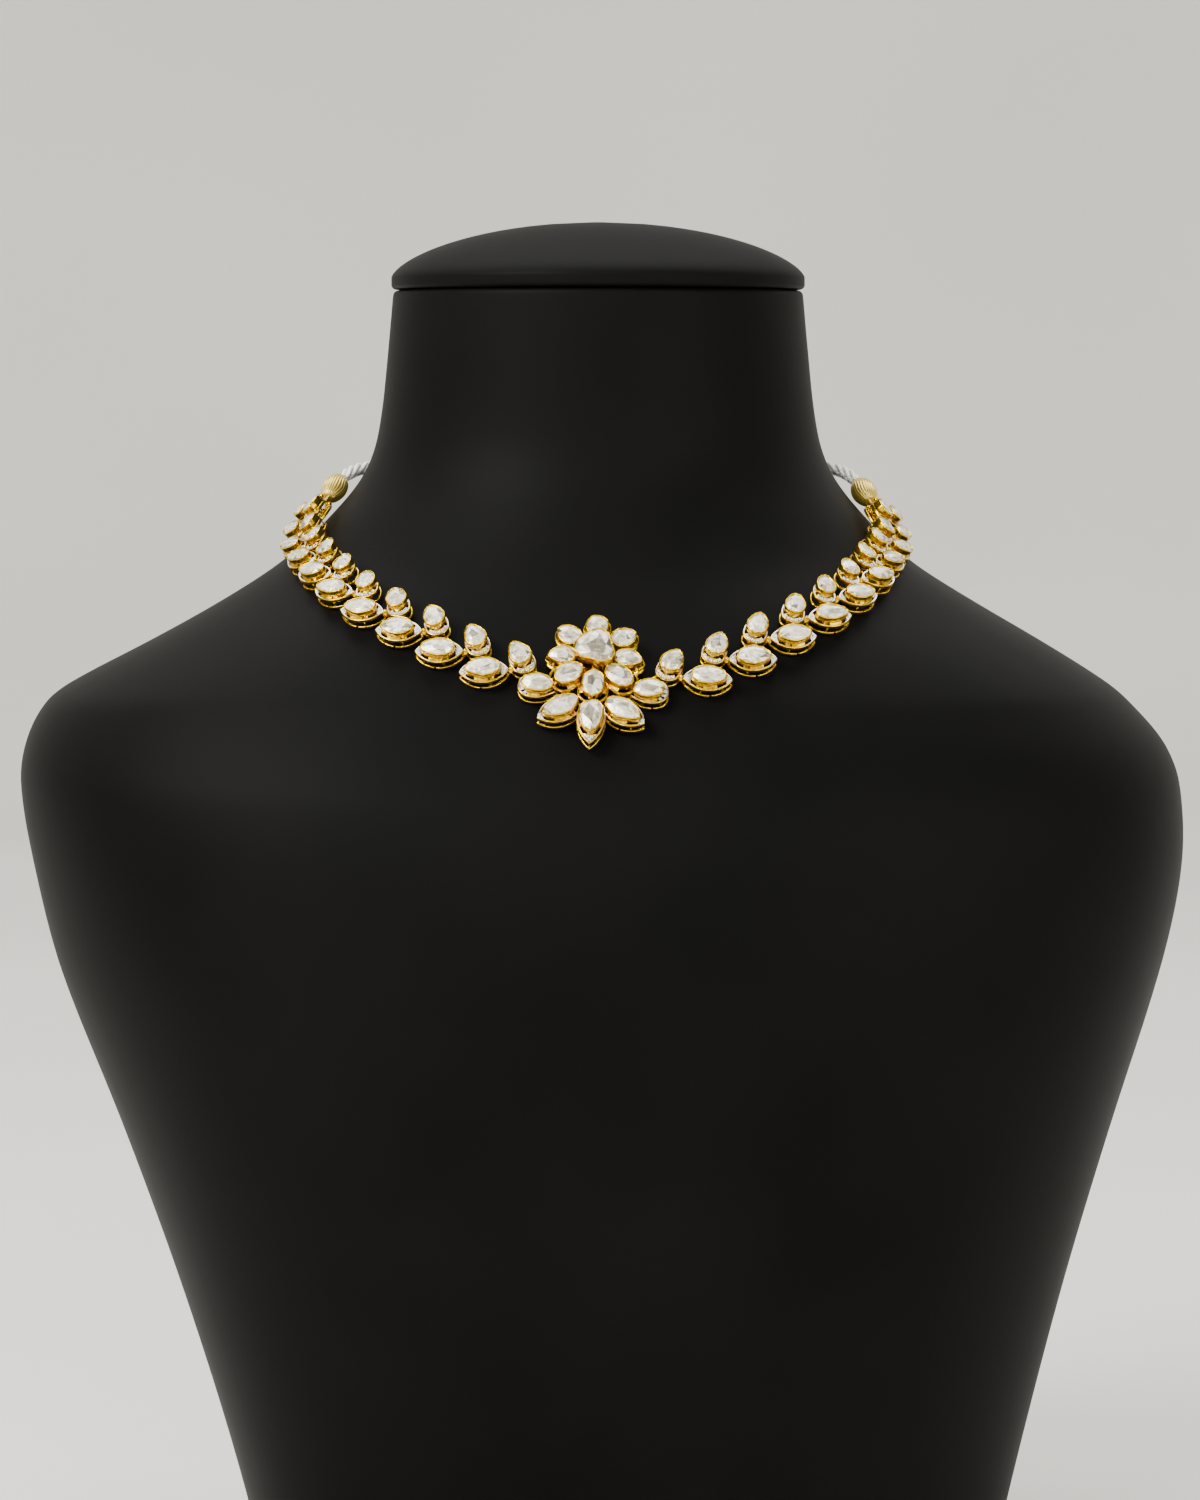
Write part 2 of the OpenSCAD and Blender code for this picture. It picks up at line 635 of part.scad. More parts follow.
function crown_gem(i) =
    let (row = crown_rows[i]) [crown_l * row[3], crown_w * row[4], row[5], 0.02, 0, 11 + i];
function inner_gem(i) =
    let (row = inner_rows[i]) [inner_l * row[3], inner_w * row[4], row[5], 0.02, 0, 21 + i];
function outer_form(i) =
    outer_rows[i][5] == 0 ? leaf_stone : outer_rows[i][5] > 0 ? pear_stone : round_out_stone;
function outer_gem(i) = sized_stone(outer_size(i), outer_form(i), 31 + i);
function outer_gem_x(i) = outer_form(i)[4] * outer_size(i)[0] * (outer_rows[i][5] > 0 ? -1 : 1);
// How much higher the bottom petal sits than the two that it laps over
petal_lap = 0.15;
function outer_lift(i) = outer_rows[i][5] > 0 ? petal_lap : 0;
// The middle stone stands over the crown's tables, with its own cup on a drum
heart_gem = [heart_w, heart_w, 0, 0, 0.12, 5];
heart_turn = 76;
heart_low = cup_rim + stone_rise + 0.2;
heart_floor = heart_low + cup_wall + cup_floor;
heart_rim = cup_rim + heart_rise;
drum_r = 0.4 * heart_w;
// Width of the rim of the inner petals between the cup and the rail
inner_rim = 0.5;
inner_frame_l = inner_l + 2 * (stone_gap + cup_wall + rail_w + inner_rim);
inner_frame_w = inner_w + 2 * (stone_gap + cup_wall + rail_w) + inner_rim;

module at_petal(row, r) {
    p = petal_polar(row[0], row[1] * r);
    translate([p[0], p[1], 0]) rotate([0, 0, 90 - row[2]]) children();
}
// Posts at a petal's end and at two places of its lower side, in its own frame
function end_post(form, l) = [l / 2 - (form < 0 ? 0.5 : 1.2) * rail_w, 0];
function petal_posts(form, size) = concat(
    [end_post(form, size[0])],
    [for (x = [0.3, -0.12] * size[0]) [x, rail_w / 2 - petal_half(form, size, x)]]
);

module pendant_frame() {
    plate_r = crown_r + crown_l / 5;
    foot_grow = 0.3;
    arm_w = 1.2;
    color(gold) in_frame(pendant_place, 1) difference() {
        union() {
            cylinder(h = rail_t, r = plate_r);
            cylinder(h = tier_h + heart_floor, r = drum_r);
            for (row = outer_rows) rotate([0, 0, -row[0]])
                translate([-arm_w / 2, 0, 0]) cube([arm_w, row[1] * outer_r, rail_t]);
            translate([0, 0, tier_h]) rotate([0, 0, heart_turn])
                cup(heart_gem, heart_low, heart_floor, heart_rim);
            for (i = [0:4]) at_petal(crown_rows[i], crown_r) {
                translate([0, 0, tier_h]) cup(crown_gem(i), rail_t, stone_floor, cup_rim);
                linear_extrude(rail_t + tier_h)
                    polygon(stone_ring(crown_gem(i), stone_gap + cup_wall + foot_grow));
            }
            for (i = [0:2]) at_petal(inner_rows[i], inner_r)
                setting(-1, inner_frame_l, inner_frame_w, inner_gem(i), 0,
                    [end_post(-1, inner_frame_l)], 0.1 * inner_frame_l, tier_h);
            for (i = [0:4]) at_petal(outer_rows[i], outer_r)
                setting(outer_rows[i][5], outer_size(i)[0], outer_size(i)[1], outer_gem(i), outer_gem_x(i),
                    petal_posts(outer_rows[i][5], outer_size(i)), 0.1 * outer_size(i)[0], outer_lift(i));
            for (side = [-1, 1])
                let (p = side_post_spot(side))
                translate([p[0], p[1], rail_t / 2]) cylinder(h = top_rail, r = post_r);
        }
        for (i = [0:4]) at_petal(crown_rows[i], crown_r)
            translate([0, 0, tier_h]) pocket(crown_gem(i), stone_floor, cup_rim);
        for (i = [0:4]) at_petal(outer_rows[i], outer_r)
            translate([outer_gem_x(i), 0, outer_lift(i)]) pocket(outer_gem(i), stone_floor, cup_rim);
    }
}

module in_flower(row, r, lift) {
    in_frame(pendant_place, 1) at_petal(row, r) translate([0, 0, lift]) children();
}
module centre_stone() {
    in_frame(pendant_place, 1) translate([0, 0, tier_h]) rotate([0, 0, heart_turn])
        stone(heart_gem, heart_floor, heart_rim);
}
module crown_stone(i) {
    in_flower(crown_rows[i], crown_r, tier_h) stone(crown_gem(i), stone_floor, cup_rim);
}
module inner_stone(i) {
    in_flower(inner_rows[i], inner_r, tier_h) stone(inner_gem(i), stone_floor, cup_rim);
}
module outer_stone(i) {
    in_flower(outer_rows[i], outer_r, outer_lift(i)) translate([outer_gem_x(i), 0, 0])
        stone(outer_gem(i), stone_floor, cup_rim);
}

module at_leaf(k) {
    p = leaf_middle(k);
    translate([p[0], p[1], 0]) rotate([0, 0, -leaf_turn]) children();
}
module at_pear(k) {
    p = pear_middle(k);
    translate([p[0], p[1], 0]) rotate([0, 0, pear_turn]) children();
}
module link(side, k) {
    leaf = leaf_size(k);
    pear = pear_size(k);
    color(gold) in_frame(link_place(side, k), side) {
        at_leaf(k)
            setting(0, leaf[0], leaf[1], leaf_gem(k, side), leaf_stone[4] * leaf[0],
                concat(petal_posts(0, leaf), [leaf_post(k)]), 0.08 * leaf[0]);
        at_pear(k)
            setting(1, pear[0], pear[1], pear_gem(k, side), pear_stone[4] * pear[0],
                [[rail_w / 2 - pear[0] / 2, 0], end_post(1, pear[0])], 0.05 * pear[0]);
        cylinder(h = top_rail + rail_t, r = bead_gap + rail_w / 2);
    }
}
module link_stones(side) {
    for (k = link_numbers) in_frame(link_place(side, k), side) {
        at_leaf(k) translate([leaf_stone[4] * leaf_size(k)[0], 0, 0])
            stone(leaf_gem(k, side), stone_floor, cup_rim);
        at_pear(k) translate([pear_stone[4] * pear_size(k)[0], 0, 0])
            stone(pear_gem(k, side), stone_floor, cup_rim);
    }
}

module jump_rings(side) {
    color(gold) {
        for (k = link_numbers) in_frame(ring_frame(side, k), 1) ring(ring_size(side, k), ring_wire);
        in_frame(last_frame(side), side) translate([last_ring_x, 0, 0]) ring(ring_r, ring_wire);
    }
}
module end_ring(side) {
    color(gold) in_frame(last_frame(side), side)
        translate([end_ring_x, 0, 0]) rotate([90, 0, 0]) ring(end_ring_r, ring_wire);
}
module zari_bead(side) {
    r = arc_r(zari_l / 2 / zari_cut, zari_w / 2);
    color(thread_gold) in_frame(last_frame(side), side) {
        translate([zari_x, 0, 0]) rotate([0, 90, 0]) rotate_extrude()
            intersection() {
                translate([zari_w / 2 - r, 0]) circle(r);
                translate([0, -zari_l / 2]) square([zari_w, zari_l]);
            }
        translate([loop_x, 0, 0]) ring(loop_r, loop_wire);
    }
}

// The seed bead bundle as one tube from the thread bead round the neck to the clasp
module back_strand(side) {
    tube_sides = 10;
    steps = 20;
    start = strand_start(side);
    stop = strand_stop(side);
    drop = strand_end(side) - strand_middle(side, start);
    middles = [for (i = [0:steps])
        let (t = i / steps)
        strand_middle(side, start + (stop - start) * t) + drop * pow(max(1 - t / strand_lead, 0), 2)];
    rings = [for (i = [0:steps])
        let (
            f = route_frame(side, start + (stop - start) * i / steps),
            along = i == 0 ? last_frame(side)[1]
                : i == steps ? f[1] : unit(middles[i + 1] - middles[i - 1]),
            out = unit(f[3] - along * (f[3] * along)),
            up = cross(out, along)
        )
        [for (j = [0:tube_sides - 1])
            let (a = -360 * j / tube_sides)
            middles[i] + (up * sin(a) + out * cos(a)) * strand_d / 2]];
    color(seed_white) loft(rings);
}
module nape_clasp() {
    step = 0.6;
    color(gold) in_frame(route_frame(1, run_at(1, 180)), 1)
        translate([0, 0, seat_gap + clasp_w / 2]) rotate([0, 90, 0]) {
            cylinder(h = clasp_l, r = clasp_w / 2 - step, center = true);
            cylinder(h = clasp_l - 2 * step, r = clasp_w / 2, center = true);
        }
}

bust_body();
neck_cap();
pendant_frame();
centre_stone();
for (i = [0:4]) crown_stone(i);
for (i = [0:2]) inner_stone(i);
for (i = [0:4]) outer_stone(i);
for (side = [-1, 1]) let (name = side_names[side_index(side)]) {
    for (k = link_numbers) link(side, k);
    link_stones(side);
    jump_rings(side);
    end_ring(side);
    zari_bead(side);
    back_strand(side);
}
nape_clasp();
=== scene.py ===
# %% [markdown]
# # A kundan necklace on a neck bust
# Kundan is an Indian way of setting flat uncut stones in pure gold foil. This necklace is a
# flower pendant of 14 stones between two rows of ten links. Each link is a leaf and a pear
# soldered together. The lesson dresses a fixed CAD frame: every piece goes where the CAD
# model has it, and adds the detail that a CAD solid leaves out.

# %% Load the fixed frame
import bpy
import bmesh
import math
import numpy as np
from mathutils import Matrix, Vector


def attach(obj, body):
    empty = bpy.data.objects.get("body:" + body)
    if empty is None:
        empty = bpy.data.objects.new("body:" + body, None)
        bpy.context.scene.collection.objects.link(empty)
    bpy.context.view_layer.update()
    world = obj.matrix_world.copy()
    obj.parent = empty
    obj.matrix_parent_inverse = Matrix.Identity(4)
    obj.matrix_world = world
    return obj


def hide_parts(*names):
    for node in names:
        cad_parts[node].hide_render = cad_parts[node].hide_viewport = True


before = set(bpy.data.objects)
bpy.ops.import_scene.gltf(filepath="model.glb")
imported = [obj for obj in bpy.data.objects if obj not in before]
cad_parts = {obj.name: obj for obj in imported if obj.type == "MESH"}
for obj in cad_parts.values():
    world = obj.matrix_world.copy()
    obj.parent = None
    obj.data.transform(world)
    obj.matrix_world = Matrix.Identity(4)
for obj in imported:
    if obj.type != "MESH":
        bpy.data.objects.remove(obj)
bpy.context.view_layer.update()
MM = 0.001

# %% [markdown]
# ## The camera
# The necklace was seen from the front and a little above, from about 1.4 m. A long lens keeps
# the shoulders from spreading. The lens length follows from the distance and from how many
# pixels wide the neck is, in a frame 1200 pixels wide and 1500 high.

# %% Place the camera
VIEW_DISTANCE = 1400
VIEW_PITCH = 3.9
VIEW_TARGET = Vector((0.5, 0, 208.6))
SENSOR = 36
FOCAL_PIXELS = 5436.9
FRAME_HEIGHT = 1500


def aim(thing, target):
    """Turn an object's -Z axis towards a point."""
    thing.rotation_euler = (target - thing.location).to_track_quat("-Z", "Y").to_euler()


pitch = math.radians(VIEW_PITCH)
camera = bpy.data.objects.new("camera", bpy.data.cameras.new("camera"))
camera.location = (VIEW_TARGET + VIEW_DISTANCE * Vector((0, -math.cos(pitch), math.sin(pitch)))) * MM
camera.data.sensor_width = SENSOR
camera.data.lens = SENSOR * FOCAL_PIXELS / FRAME_HEIGHT
aim(camera, VIEW_TARGET * MM)
bpy.context.scene.collection.objects.link(camera)
bpy.context.scene.camera = camera
print("lens", round(camera.data.lens, 1), "mm")

# %% [markdown]
# ## Helpers for finishes
# Blender's shaders want linear colour, and paint charts give sRGB, so one function turns one
# into the other. Another adds a node with its settings and its links in one line, which keeps
# each material short enough to read.

# %% Colour and node helpers


def linear(hex_colour):
    """Linear RGBA of an sRGB hex colour."""
    parts = [int(hex_colour[i:i + 2], 16) / 255 for i in (1, 3, 5)]
    return [c / 12.92 if c <= 0.04045 else ((c + 0.055) / 1.055) ** 2.4 for c in parts] + [1]


def set_node(material, node, links, **settings):
    """Set a node's properties or inputs by name, then feed outputs to inputs."""
    for name, value in settings.items():
        if hasattr(node, name):
            setattr(node, name, value)
        else:
            node.inputs[name.replace("_", " ")].default_value = value
    for socket, source in links.items():
        # A whole node stands for its first output
        output = source.outputs[0] if hasattr(source, "outputs") else source
        material.node_tree.links.new(output, node.inputs[socket])


def add_node(material, kind, links=None, stops=(), **settings):
    """Add a node with its settings and links. A colour ramp has stops: (place, hex colour)."""
    node = material.node_tree.nodes.new("ShaderNode" + kind)
    set_node(material, node, links or {}, **settings)
    if stops:
        elements = node.color_ramp.elements
        while len(elements) < len(stops):
            elements.new(0.5)
        for element, (place, colour) in zip(elements, stops):
            element.position = place
            element.color = linear(colour)
    return node


def new_finish(name):
    """An empty material and its shader, which is joined to the output."""
    material = bpy.data.materials.new(name)
    material.use_nodes = True
    shader = next(n for n in material.node_tree.nodes if n.type == "BSDF_PRINCIPLED")
    return material, shader


def mottled(name, spot, detail, stops, **values):
    """A plain finish whose colour drifts through stops, in spots of some width."""
    material, shader = new_finish(name)
    place = add_node(material, "TexCoord").outputs["Object"]
    spots = add_node(material, "TexNoise", {"Vector": place}, Scale=1 / spot, Detail=detail)
    colour = add_node(material, "ValToRGB", {"Fac": spots}, stops)
    set_node(material, shader, {"Base Color": colour}, **values)
    return material


# %% [markdown]
# ## Gold and bright rims
# The settings are 22 carat gold, which is a deep yellow because it is nearly pure. It is cut
# and soldered by hand from strip, so it shines but is never quite flat: a soft bump of about
# a millimetre breaks up its reflections. The upper edges are plated with rhodium, a white
# metal, to make the stones look larger.

# %% Make the gold and the rhodium


def hammered_metal(name, light, deep, roughness, dent):
    """Hand-worked metal: dents about 0.9 mm wide under a finer pattern of polish. Their hollows are painted
    the deep colour, as painted shade, and their crests the light one, as painted highlight.
    """
    metal, shader = new_finish(name)
    place = add_node(metal, "TexCoord").outputs["Object"]
    dents_and_hollow_shade = add_node(metal, "TexNoise", {"Vector": place}, Scale=1 / (0.9 * MM), Detail=2.0)
    # Real polishing marks are too fine for the render, so they are drawn 0.15 mm wide
    polish = add_node(metal, "TexNoise", {"Vector": place}, Scale=1 / (0.15 * MM), Detail=3.0)
    # The deep colour is painted shade in the dents' hollows, the light one painted highlight on their crests
    colour = add_node(metal, "ValToRGB", {"Fac": dents_and_hollow_shade}, [(0.35, deep), (0.6, light)])
    shine = add_node(metal, "MapRange", {"Value": polish}, To_Min=roughness * 0.7, To_Max=roughness * 1.5)
    bump = add_node(metal, "Bump", {"Height": dents_and_hollow_shade}, Strength=dent, Distance=0.2 * MM)
    set_node(metal, shader, {"Base Color": colour, "Roughness": shine, "Normal": bump}, Metallic=1.0)
    return metal


# Nearly pure gold, rubbed with a burnisher: its dents' crests are painted yellow as lit gold, and their
# hollows painted orange, as painted reflection of gold in gold
gold = hammered_metal("22_carat_gold_hand_burnished", "#EAC60C", "#C49606", 0.17, 0.25)
# The walls of the cups are filed, not burnished, so they glow more than they mirror. Their gold is also
# painted darker than the burnished gold, as painted shade on the walls
filed_gold_painted_darker = hammered_metal("22_carat_gold_filed_matte_painted_darker", "#DAB006", "#A27804", 0.25, 0.35)
# Rhodium plate over gold: white, and a little greyer than silver
rhodium = hammered_metal("rhodium_plate_on_gold", "#FFFFFF", "#EDEBE6", 0.2, 0.15)
# The inside of a setting is never polished. Its dark brown is painted shade, for the recess under the stone
# where little light reaches
inside_gold_painted_shade = hammered_metal("22_carat_gold_unpolished_inside_painted_shade", "#7A4E10", "#2E1C08", 0.5, 0.5)
print("metals:", gold.name, filed_gold_painted_darker.name, rhodium.name, inside_gold_painted_shade.name)

# %% [markdown]
# ## Uncut stones
# A kundan stone is a flat natural crystal, split and polished without a regular cut, with
# silver foil behind it. It reads as cream white silver with grey streaks that run out from
# its middle, and a few whole facets mirror the room; those facets are painted grey as
# reflections. Real refraction would need the foil and much render time, so the finish is
# opaque: a glossy coat over a body colour. Each face carries a value of painted light, which
# paints it lighter or darker as a reflection, and each point its place on the stone, which
# the streaks follow.

# %% Make the stones' finish
uncut, shader = new_finish("uncut_foiled_crystal_polished")
place = add_node(uncut, "Attribute", attribute_name="place").outputs["Vector"]
tone = add_node(uncut, "Attribute", attribute_name="tone").outputs["Fac"]
parts = add_node(uncut, "SeparateXYZ", {"Vector": place})
flat = add_node(uncut, "CombineXYZ", {"X": parts.outputs["X"], "Y": parts.outputs["Y"]})
ray = add_node(uncut, "VectorMath", {0: flat}, operation="NORMALIZE")
reach = add_node(uncut, "VectorMath", {0: flat}, operation="LENGTH").outputs["Value"]
deep = add_node(uncut, "Math", {0: reach, 2: parts.outputs["Z"]}, operation="MULTIPLY_ADD")
deep.inputs[1].default_value = 0.14
ring = add_node(uncut, "VectorMath", {0: ray}, operation="SCALE", Scale=1.5)
shift = add_node(uncut, "CombineXYZ", {"Z": deep})
streak_at = add_node(uncut, "VectorMath", {0: ring, 1: shift}, operation="ADD")
# Streaks 8 to 12 round a stone, and clouds about 2 mm wide
streaks = add_node(uncut, "TexNoise", {"Vector": streak_at}, Scale=1.3, Detail=4.0, Distortion=0.5)
clouds = add_node(uncut, "TexNoise", {"Vector": place}, Scale=0.55, Detail=5.0, Roughness=0.6)
body = add_node(uncut, "ValToRGB", {"Fac": clouds}, [(0.34, "#A8A18A"), (0.45, "#E2DBC6"), (0.58, "#FDF7E6")])
veins = add_node(uncut, "ValToRGB", {"Fac": streaks},
                 [(0.0, "#FFFFFF"), (0.41, "#FFFFFF"), (0.45, "#7F7B70"), (0.48, "#F4F2EC"),
                  (0.56, "#FFFFFF"), (0.6, "#BDB9AE"), (0.64, "#FFFFFF")])
# Each face's painted light makes it lighter or darker: painted reflections on the facets
facets = add_node(uncut, "ValToRGB", {"Fac": tone},
                  [(0.0, "#4C4941"), (0.25, "#A3A096"), (0.5, "#EAE8E0"), (0.75, "#FFFFFF")])
colour = body
for over, amount in ((veins, 0.6), (facets, 1.0)):
    mixed = add_node(uncut, "Mix", {6: colour, 7: over}, data_type="RGBA", blend_type="MULTIPLY")
    mixed.inputs[0].default_value = amount
    colour = mixed.outputs[2]
skin = add_node(uncut, "Bump", {"Height": clouds}, Strength=0.6, Distance=0.35 * MM)
# The share of metal is the silver foil behind the stone. Its IOR lies between glass and diamond,
# because the photo doesn't tell which of them the stones are
set_node(uncut, shader, {"Base Color": colour, "Normal": skin},
         Metallic=0.2, Roughness=0.14, IOR=2.0, Coat_Weight=0.5, Coat_Roughness=0.03)

# The small diamonds are cut, so each facet is painted one even shade of grey to white, as a painted
# reflection, and the edges are sharp
diamond, shader = new_finish("small_cut_diamond")
tone = add_node(diamond, "Attribute", attribute_name="tone").outputs["Fac"]
colour = add_node(diamond, "ValToRGB", {"Fac": tone}, [(0.0, "#8E949C"), (0.4, "#E6E8EA"), (0.7, "#FFFFFF")])
set_node(diamond, shader, {"Base Color": colour},
         Roughness=0.06, IOR=2.42, Coat_Weight=0.5, Coat_Roughness=0.02)
print("stones:", uncut.name, diamond.name)

# %% [markdown]
# ## The bust's covering
# The bust is a rigid form covered with black leatherette, which is vinyl pressed with a fine
# leather grain. It is nearly black and soft to the light, with a broad dull highlight on the
# shoulders. The real grain is about 0.4 mm. That is finer than a pixel of the render, so it
# is drawn 1.1 mm wide.

# %% Make the leatherette
leatherette, shader = new_finish("black_vinyl_leatherette_embossed")
place = add_node(leatherette, "TexCoord").outputs["Object"]
grain = add_node(leatherette, "TexVoronoi", {"Vector": place}, feature="SMOOTH_F1", Scale=1 / (1.1 * MM))
wear = add_node(leatherette, "TexNoise", {"Vector": place}, Scale=1 / (60 * MM), Detail=4.0)
pores = add_node(leatherette, "Bump", {"Height": grain}, Strength=0.12, Distance=0.15 * MM)
# The vinyl is set darker than its chart colour and with less gloss, because the render's view
# transform lifts blacks under soft light and the photo's bust stays black
black = add_node(leatherette, "ValToRGB", {"Fac": wear}, [(0.35, "#030303"), (0.65, "#070706")])
dull = add_node(leatherette, "MapRange", {"Value": wear}, To_Min=0.5, To_Max=0.64)
set_node(leatherette, shader, {"Base Color": black, "Roughness": dull, "Normal": pores},
         IOR=1.5, Specular_IOR_Level=0.055)
print("covering:", leatherette.name)

# %% [markdown]
# ## Mesh helpers
# Nearly every gold part is a loft: the same number of points in each of several rings, joined
# by faces. The helper below keeps the points, faces and finishes of one piece in plain lists
# and makes one object of them at the end. That is quick, and one soldered piece of metal
# stays one object.

# %% Build a piece from lofts
# A setting's finishes, and the numbers that its faces know them by
SETTING_FINISHES = [gold, rhodium, diamond, inside_gold_painted_shade, filed_gold_painted_darker]
GOLD, WHITE, SPARK, INSIDE_PAINTED_SHADE, FILED_PAINTED_DARKER = range(5)


class Piece:
    """Points in mm, faces, and for each face its finish, a value of painted light and whether it is smooth.

    A stone also has places: where each point lies on it, for its finish."""

    def __init__(self):
        self.points, self.faces, self.finish, self.tone, self.smooth = [], [], [], [], []
        self.places = {}

    def add(self, points, faces, finish=GOLD, smooth=True, tone=0.5):
        start = len(self.points)
        self.points.extend([tuple(p) for p in np.asarray(points, float).reshape(-1, 3)])
        self.faces.extend([[start + i for i in face] for face in faces])
        count = len(faces)
        self.finish.extend(list(finish) if np.ndim(finish) else [finish] * count)
        self.tone.extend(list(tone) if np.ndim(tone) else [tone] * count)
        self.smooth.extend([smooth] * count)
        return start

    def loft(self, rings, around=True, along=False, caps=True, finish=GOLD, smooth=True):
        """Join rings of points. A list of finishes gives one for each strip between two rings."""
        rings = np.asarray(rings, float)
        rows, n = rings.shape[:2]
        strips = rows if along else rows - 1
        steps = n if around else n - 1
        finish = finish if np.ndim(finish) else [finish] * strips
        faces, finishes = [], []
        for i in range(strips):
            a, b = i * n, (i + 1) % rows * n
            faces += [[a + j, a + (j + 1) % n, b + (j + 1) % n, b + j] for j in range(steps)]
            finishes += [finish[i]] * steps
        if caps and around and not along:
            faces += [list(range(n))[::-1], [(rows - 1) * n + j for j in range(n)]]
            finishes += [finishes[0], finishes[-1]]
        if caps and along and not around:
            faces += [[i * n for i in range(rows)], [i * n + n - 1 for i in range(rows)][::-1]]
            finishes += [finishes[0], finishes[0]]
        self.add(rings, faces, finishes, smooth)

    def move(self, way):
        """Move all points by a function, such as a flat turn or a frame on the bust."""
        self.points = [tuple(p) for p in way(np.asarray(self.points))]

    def place(self, other, way):
        """Add another piece, with its points moved."""
        start = self.add(way(np.asarray(other.points)), other.faces, other.finish, True, other.tone)
        self.smooth[-len(other.smooth):] = other.smooth
        self.places.update({start + i: spot for i, spot in other.places.items()})

    def build(self, name, finishes):
        """One object with its finishes."""
        mesh = bpy.data.meshes.new(name)
        mesh.from_pydata([(x * MM, y * MM, z * MM) for x, y, z in self.points], [], self.faces)
        for finish in finishes:
            mesh.materials.append(finish)
        mesh.polygons.foreach_set("material_index", np.asarray(self.finish, np.int32))
        mesh.polygons.foreach_set("use_smooth", np.asarray(self.smooth, bool))
        painted_light_values = mesh.attributes.new("tone", "FLOAT", "FACE")
        painted_light_values.data.foreach_set("value", np.asarray(self.tone, np.float32))
        if self.places:
            spots = np.array([self.places[i] for i in range(len(self.points))], np.float32)
            mesh.attributes.new("place", "FLOAT_VECTOR", "POINT").data.foreach_set("vector", spots.ravel())
        mesh.validate()
        fix_outward(mesh)
        thing = bpy.data.objects.new(name, mesh)
        bpy.context.scene.collection.objects.link(thing)
        return thing

    def make(self, name, finishes, node, slot):
        """The object, riding on the root and standing for its CAD node."""
        thing = self.build(name, finishes)
        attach(thing, "root")
        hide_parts(node)
        return thing


def fix_outward(mesh):
    """Turn every shell's faces outward."""
    work = bmesh.new()
    work.from_mesh(mesh)
    bmesh.ops.recalc_face_normals(work, faces=work.faces)
    work.to_mesh(mesh)
    work.free()


def circle(radius, z, turns, x=0, y=0):
    """Points at these turns round an upright axis at x and y."""
    return [(x + radius * math.cos(a), y + radius * math.sin(a), z) for a in turns]


def hoop(centre, way_a, way_b, radius, sides):
    """Evenly spaced points round a centre, in the plane of two ways."""
    turns = np.linspace(0, 2 * np.pi, sides, endpoint=False)
    return [centre + radius * (way_a * math.cos(a) + way_b * math.sin(a)) for a in turns]


def round_x(x, r, turns):
    """Points round the X axis, with a radius for each turn."""
    return np.column_stack([np.full(len(turns), x), r * np.cos(turns), r * np.sin(turns)])


print("finishes of a setting:", len(SETTING_FINISHES))

# %% [markdown]
# ## Reading places from the frame
# The lesson can't read the CAD model's source, so it finds where each piece lies from the
# piece's own mesh. A soldered setting is cut from strips that stand straight up, so all its
# faces look along one way or across it. Three ways come from the faces' normals, weighted by
# area, and the one that points off the neck is the way that the piece faces.

# %% Find corners, middles and ways


def unit(v):
    return np.asarray(v) / np.linalg.norm(v)


def corners_of(name):
    """The corners of a CAD node, in mm."""
    return np.unique(np.round([tuple(v.co / MM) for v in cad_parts[name].data.vertices], 3), axis=0)


def faces_of(name):
    """The middle of a CAD node's faces, and three ways that they look, from least area to most."""
    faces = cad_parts[name].data.polygons
    area = np.array([face.area for face in faces])
    looks = np.array([tuple(face.normal) for face in faces])
    middles = np.array([tuple(face.center) for face in faces]) / MM
    return area @ middles / area.sum(), np.linalg.eigh((looks.T * area) @ looks)[1].T


def facing(ways, spot):
    """The one of some ways that points most off the neck and up, at a spot."""
    off = np.array([spot[0], spot[1], math.hypot(spot[0], spot[1])])
    way = max(ways, key=lambda w: abs(w @ off))
    return unit(way * np.sign(way @ off))


def level_of(name, out, top=True):
    """The corners of a node that lie highest or lowest, as out measures it."""
    corners = corners_of(name)
    height = corners @ out * (1 if top else -1)
    return corners[height > height.max() - 0.01]


def place_from(found, known, height, out, side=1):
    """Origin, way along and way out of a piece, from two spots found on it and known on its plan."""
    way, flat = found[0] - found[1], known[0] - known[1]
    way = way - out * (way @ out)
    along = unit(flat[0] * way - flat[1] * side * np.cross(out, way))
    up = side * np.cross(out, along)
    return found[0] - along * known[0][0] - up * known[0][1] - out * height, along, out


print("corners of the bust:", len(corners_of("bust_body")))

# %% [markdown]
# ## The bust
# The CAD body is a loft of 56-sided rings. On the real bust the leatherette is stretched
# smooth over the form, so the rings' own corners are read back from the CAD node and become
# the cage of a subdivision surface. The cap is turned from the same curve as the CAD cap,
# with a rounded edge that overhangs the neck and leaves a thin groove.

# %% Stretch the covering over the bust
NECK_RADIUS = 52.5
NECK_TOP = 326.5
corners = corners_of("bust_body")
levels = [corners[corners[:, 2] == z] for z in np.unique(corners[:, 2])]
levels = [ring[np.argsort(np.arctan2(ring[:, 1], ring[:, 0]))] for ring in levels]
sides = max(len(ring) for ring in levels)
levels = [ring for ring in levels if len(ring) == sides]
bust = Piece()
middle = levels[0].mean(0)
# Rings close to the edges keep the subdivision from rounding off the foot and the neck's top
foot = [middle + (levels[0] - middle) * share for share in (0.05, 0.93, 0.99)]
foot_edge = [levels[0] + (levels[1] - levels[0]) * 0.1]
top = levels[-1].mean(0)
lid = [top + (levels[-1] - top) * share for share in (0.95, 0.05)]
bust.loft(foot + [levels[0]] + foot_edge + levels[1:] + lid)
bust_piece = bust.make("bust_covering", [leatherette], "bust_body", "leatherette")
stretch = bust_piece.modifiers.new("stretch", "SUBSURF")
stretch.levels = stretch.render_levels = 2
print("bust cage:", len(levels), "rings of", sides)

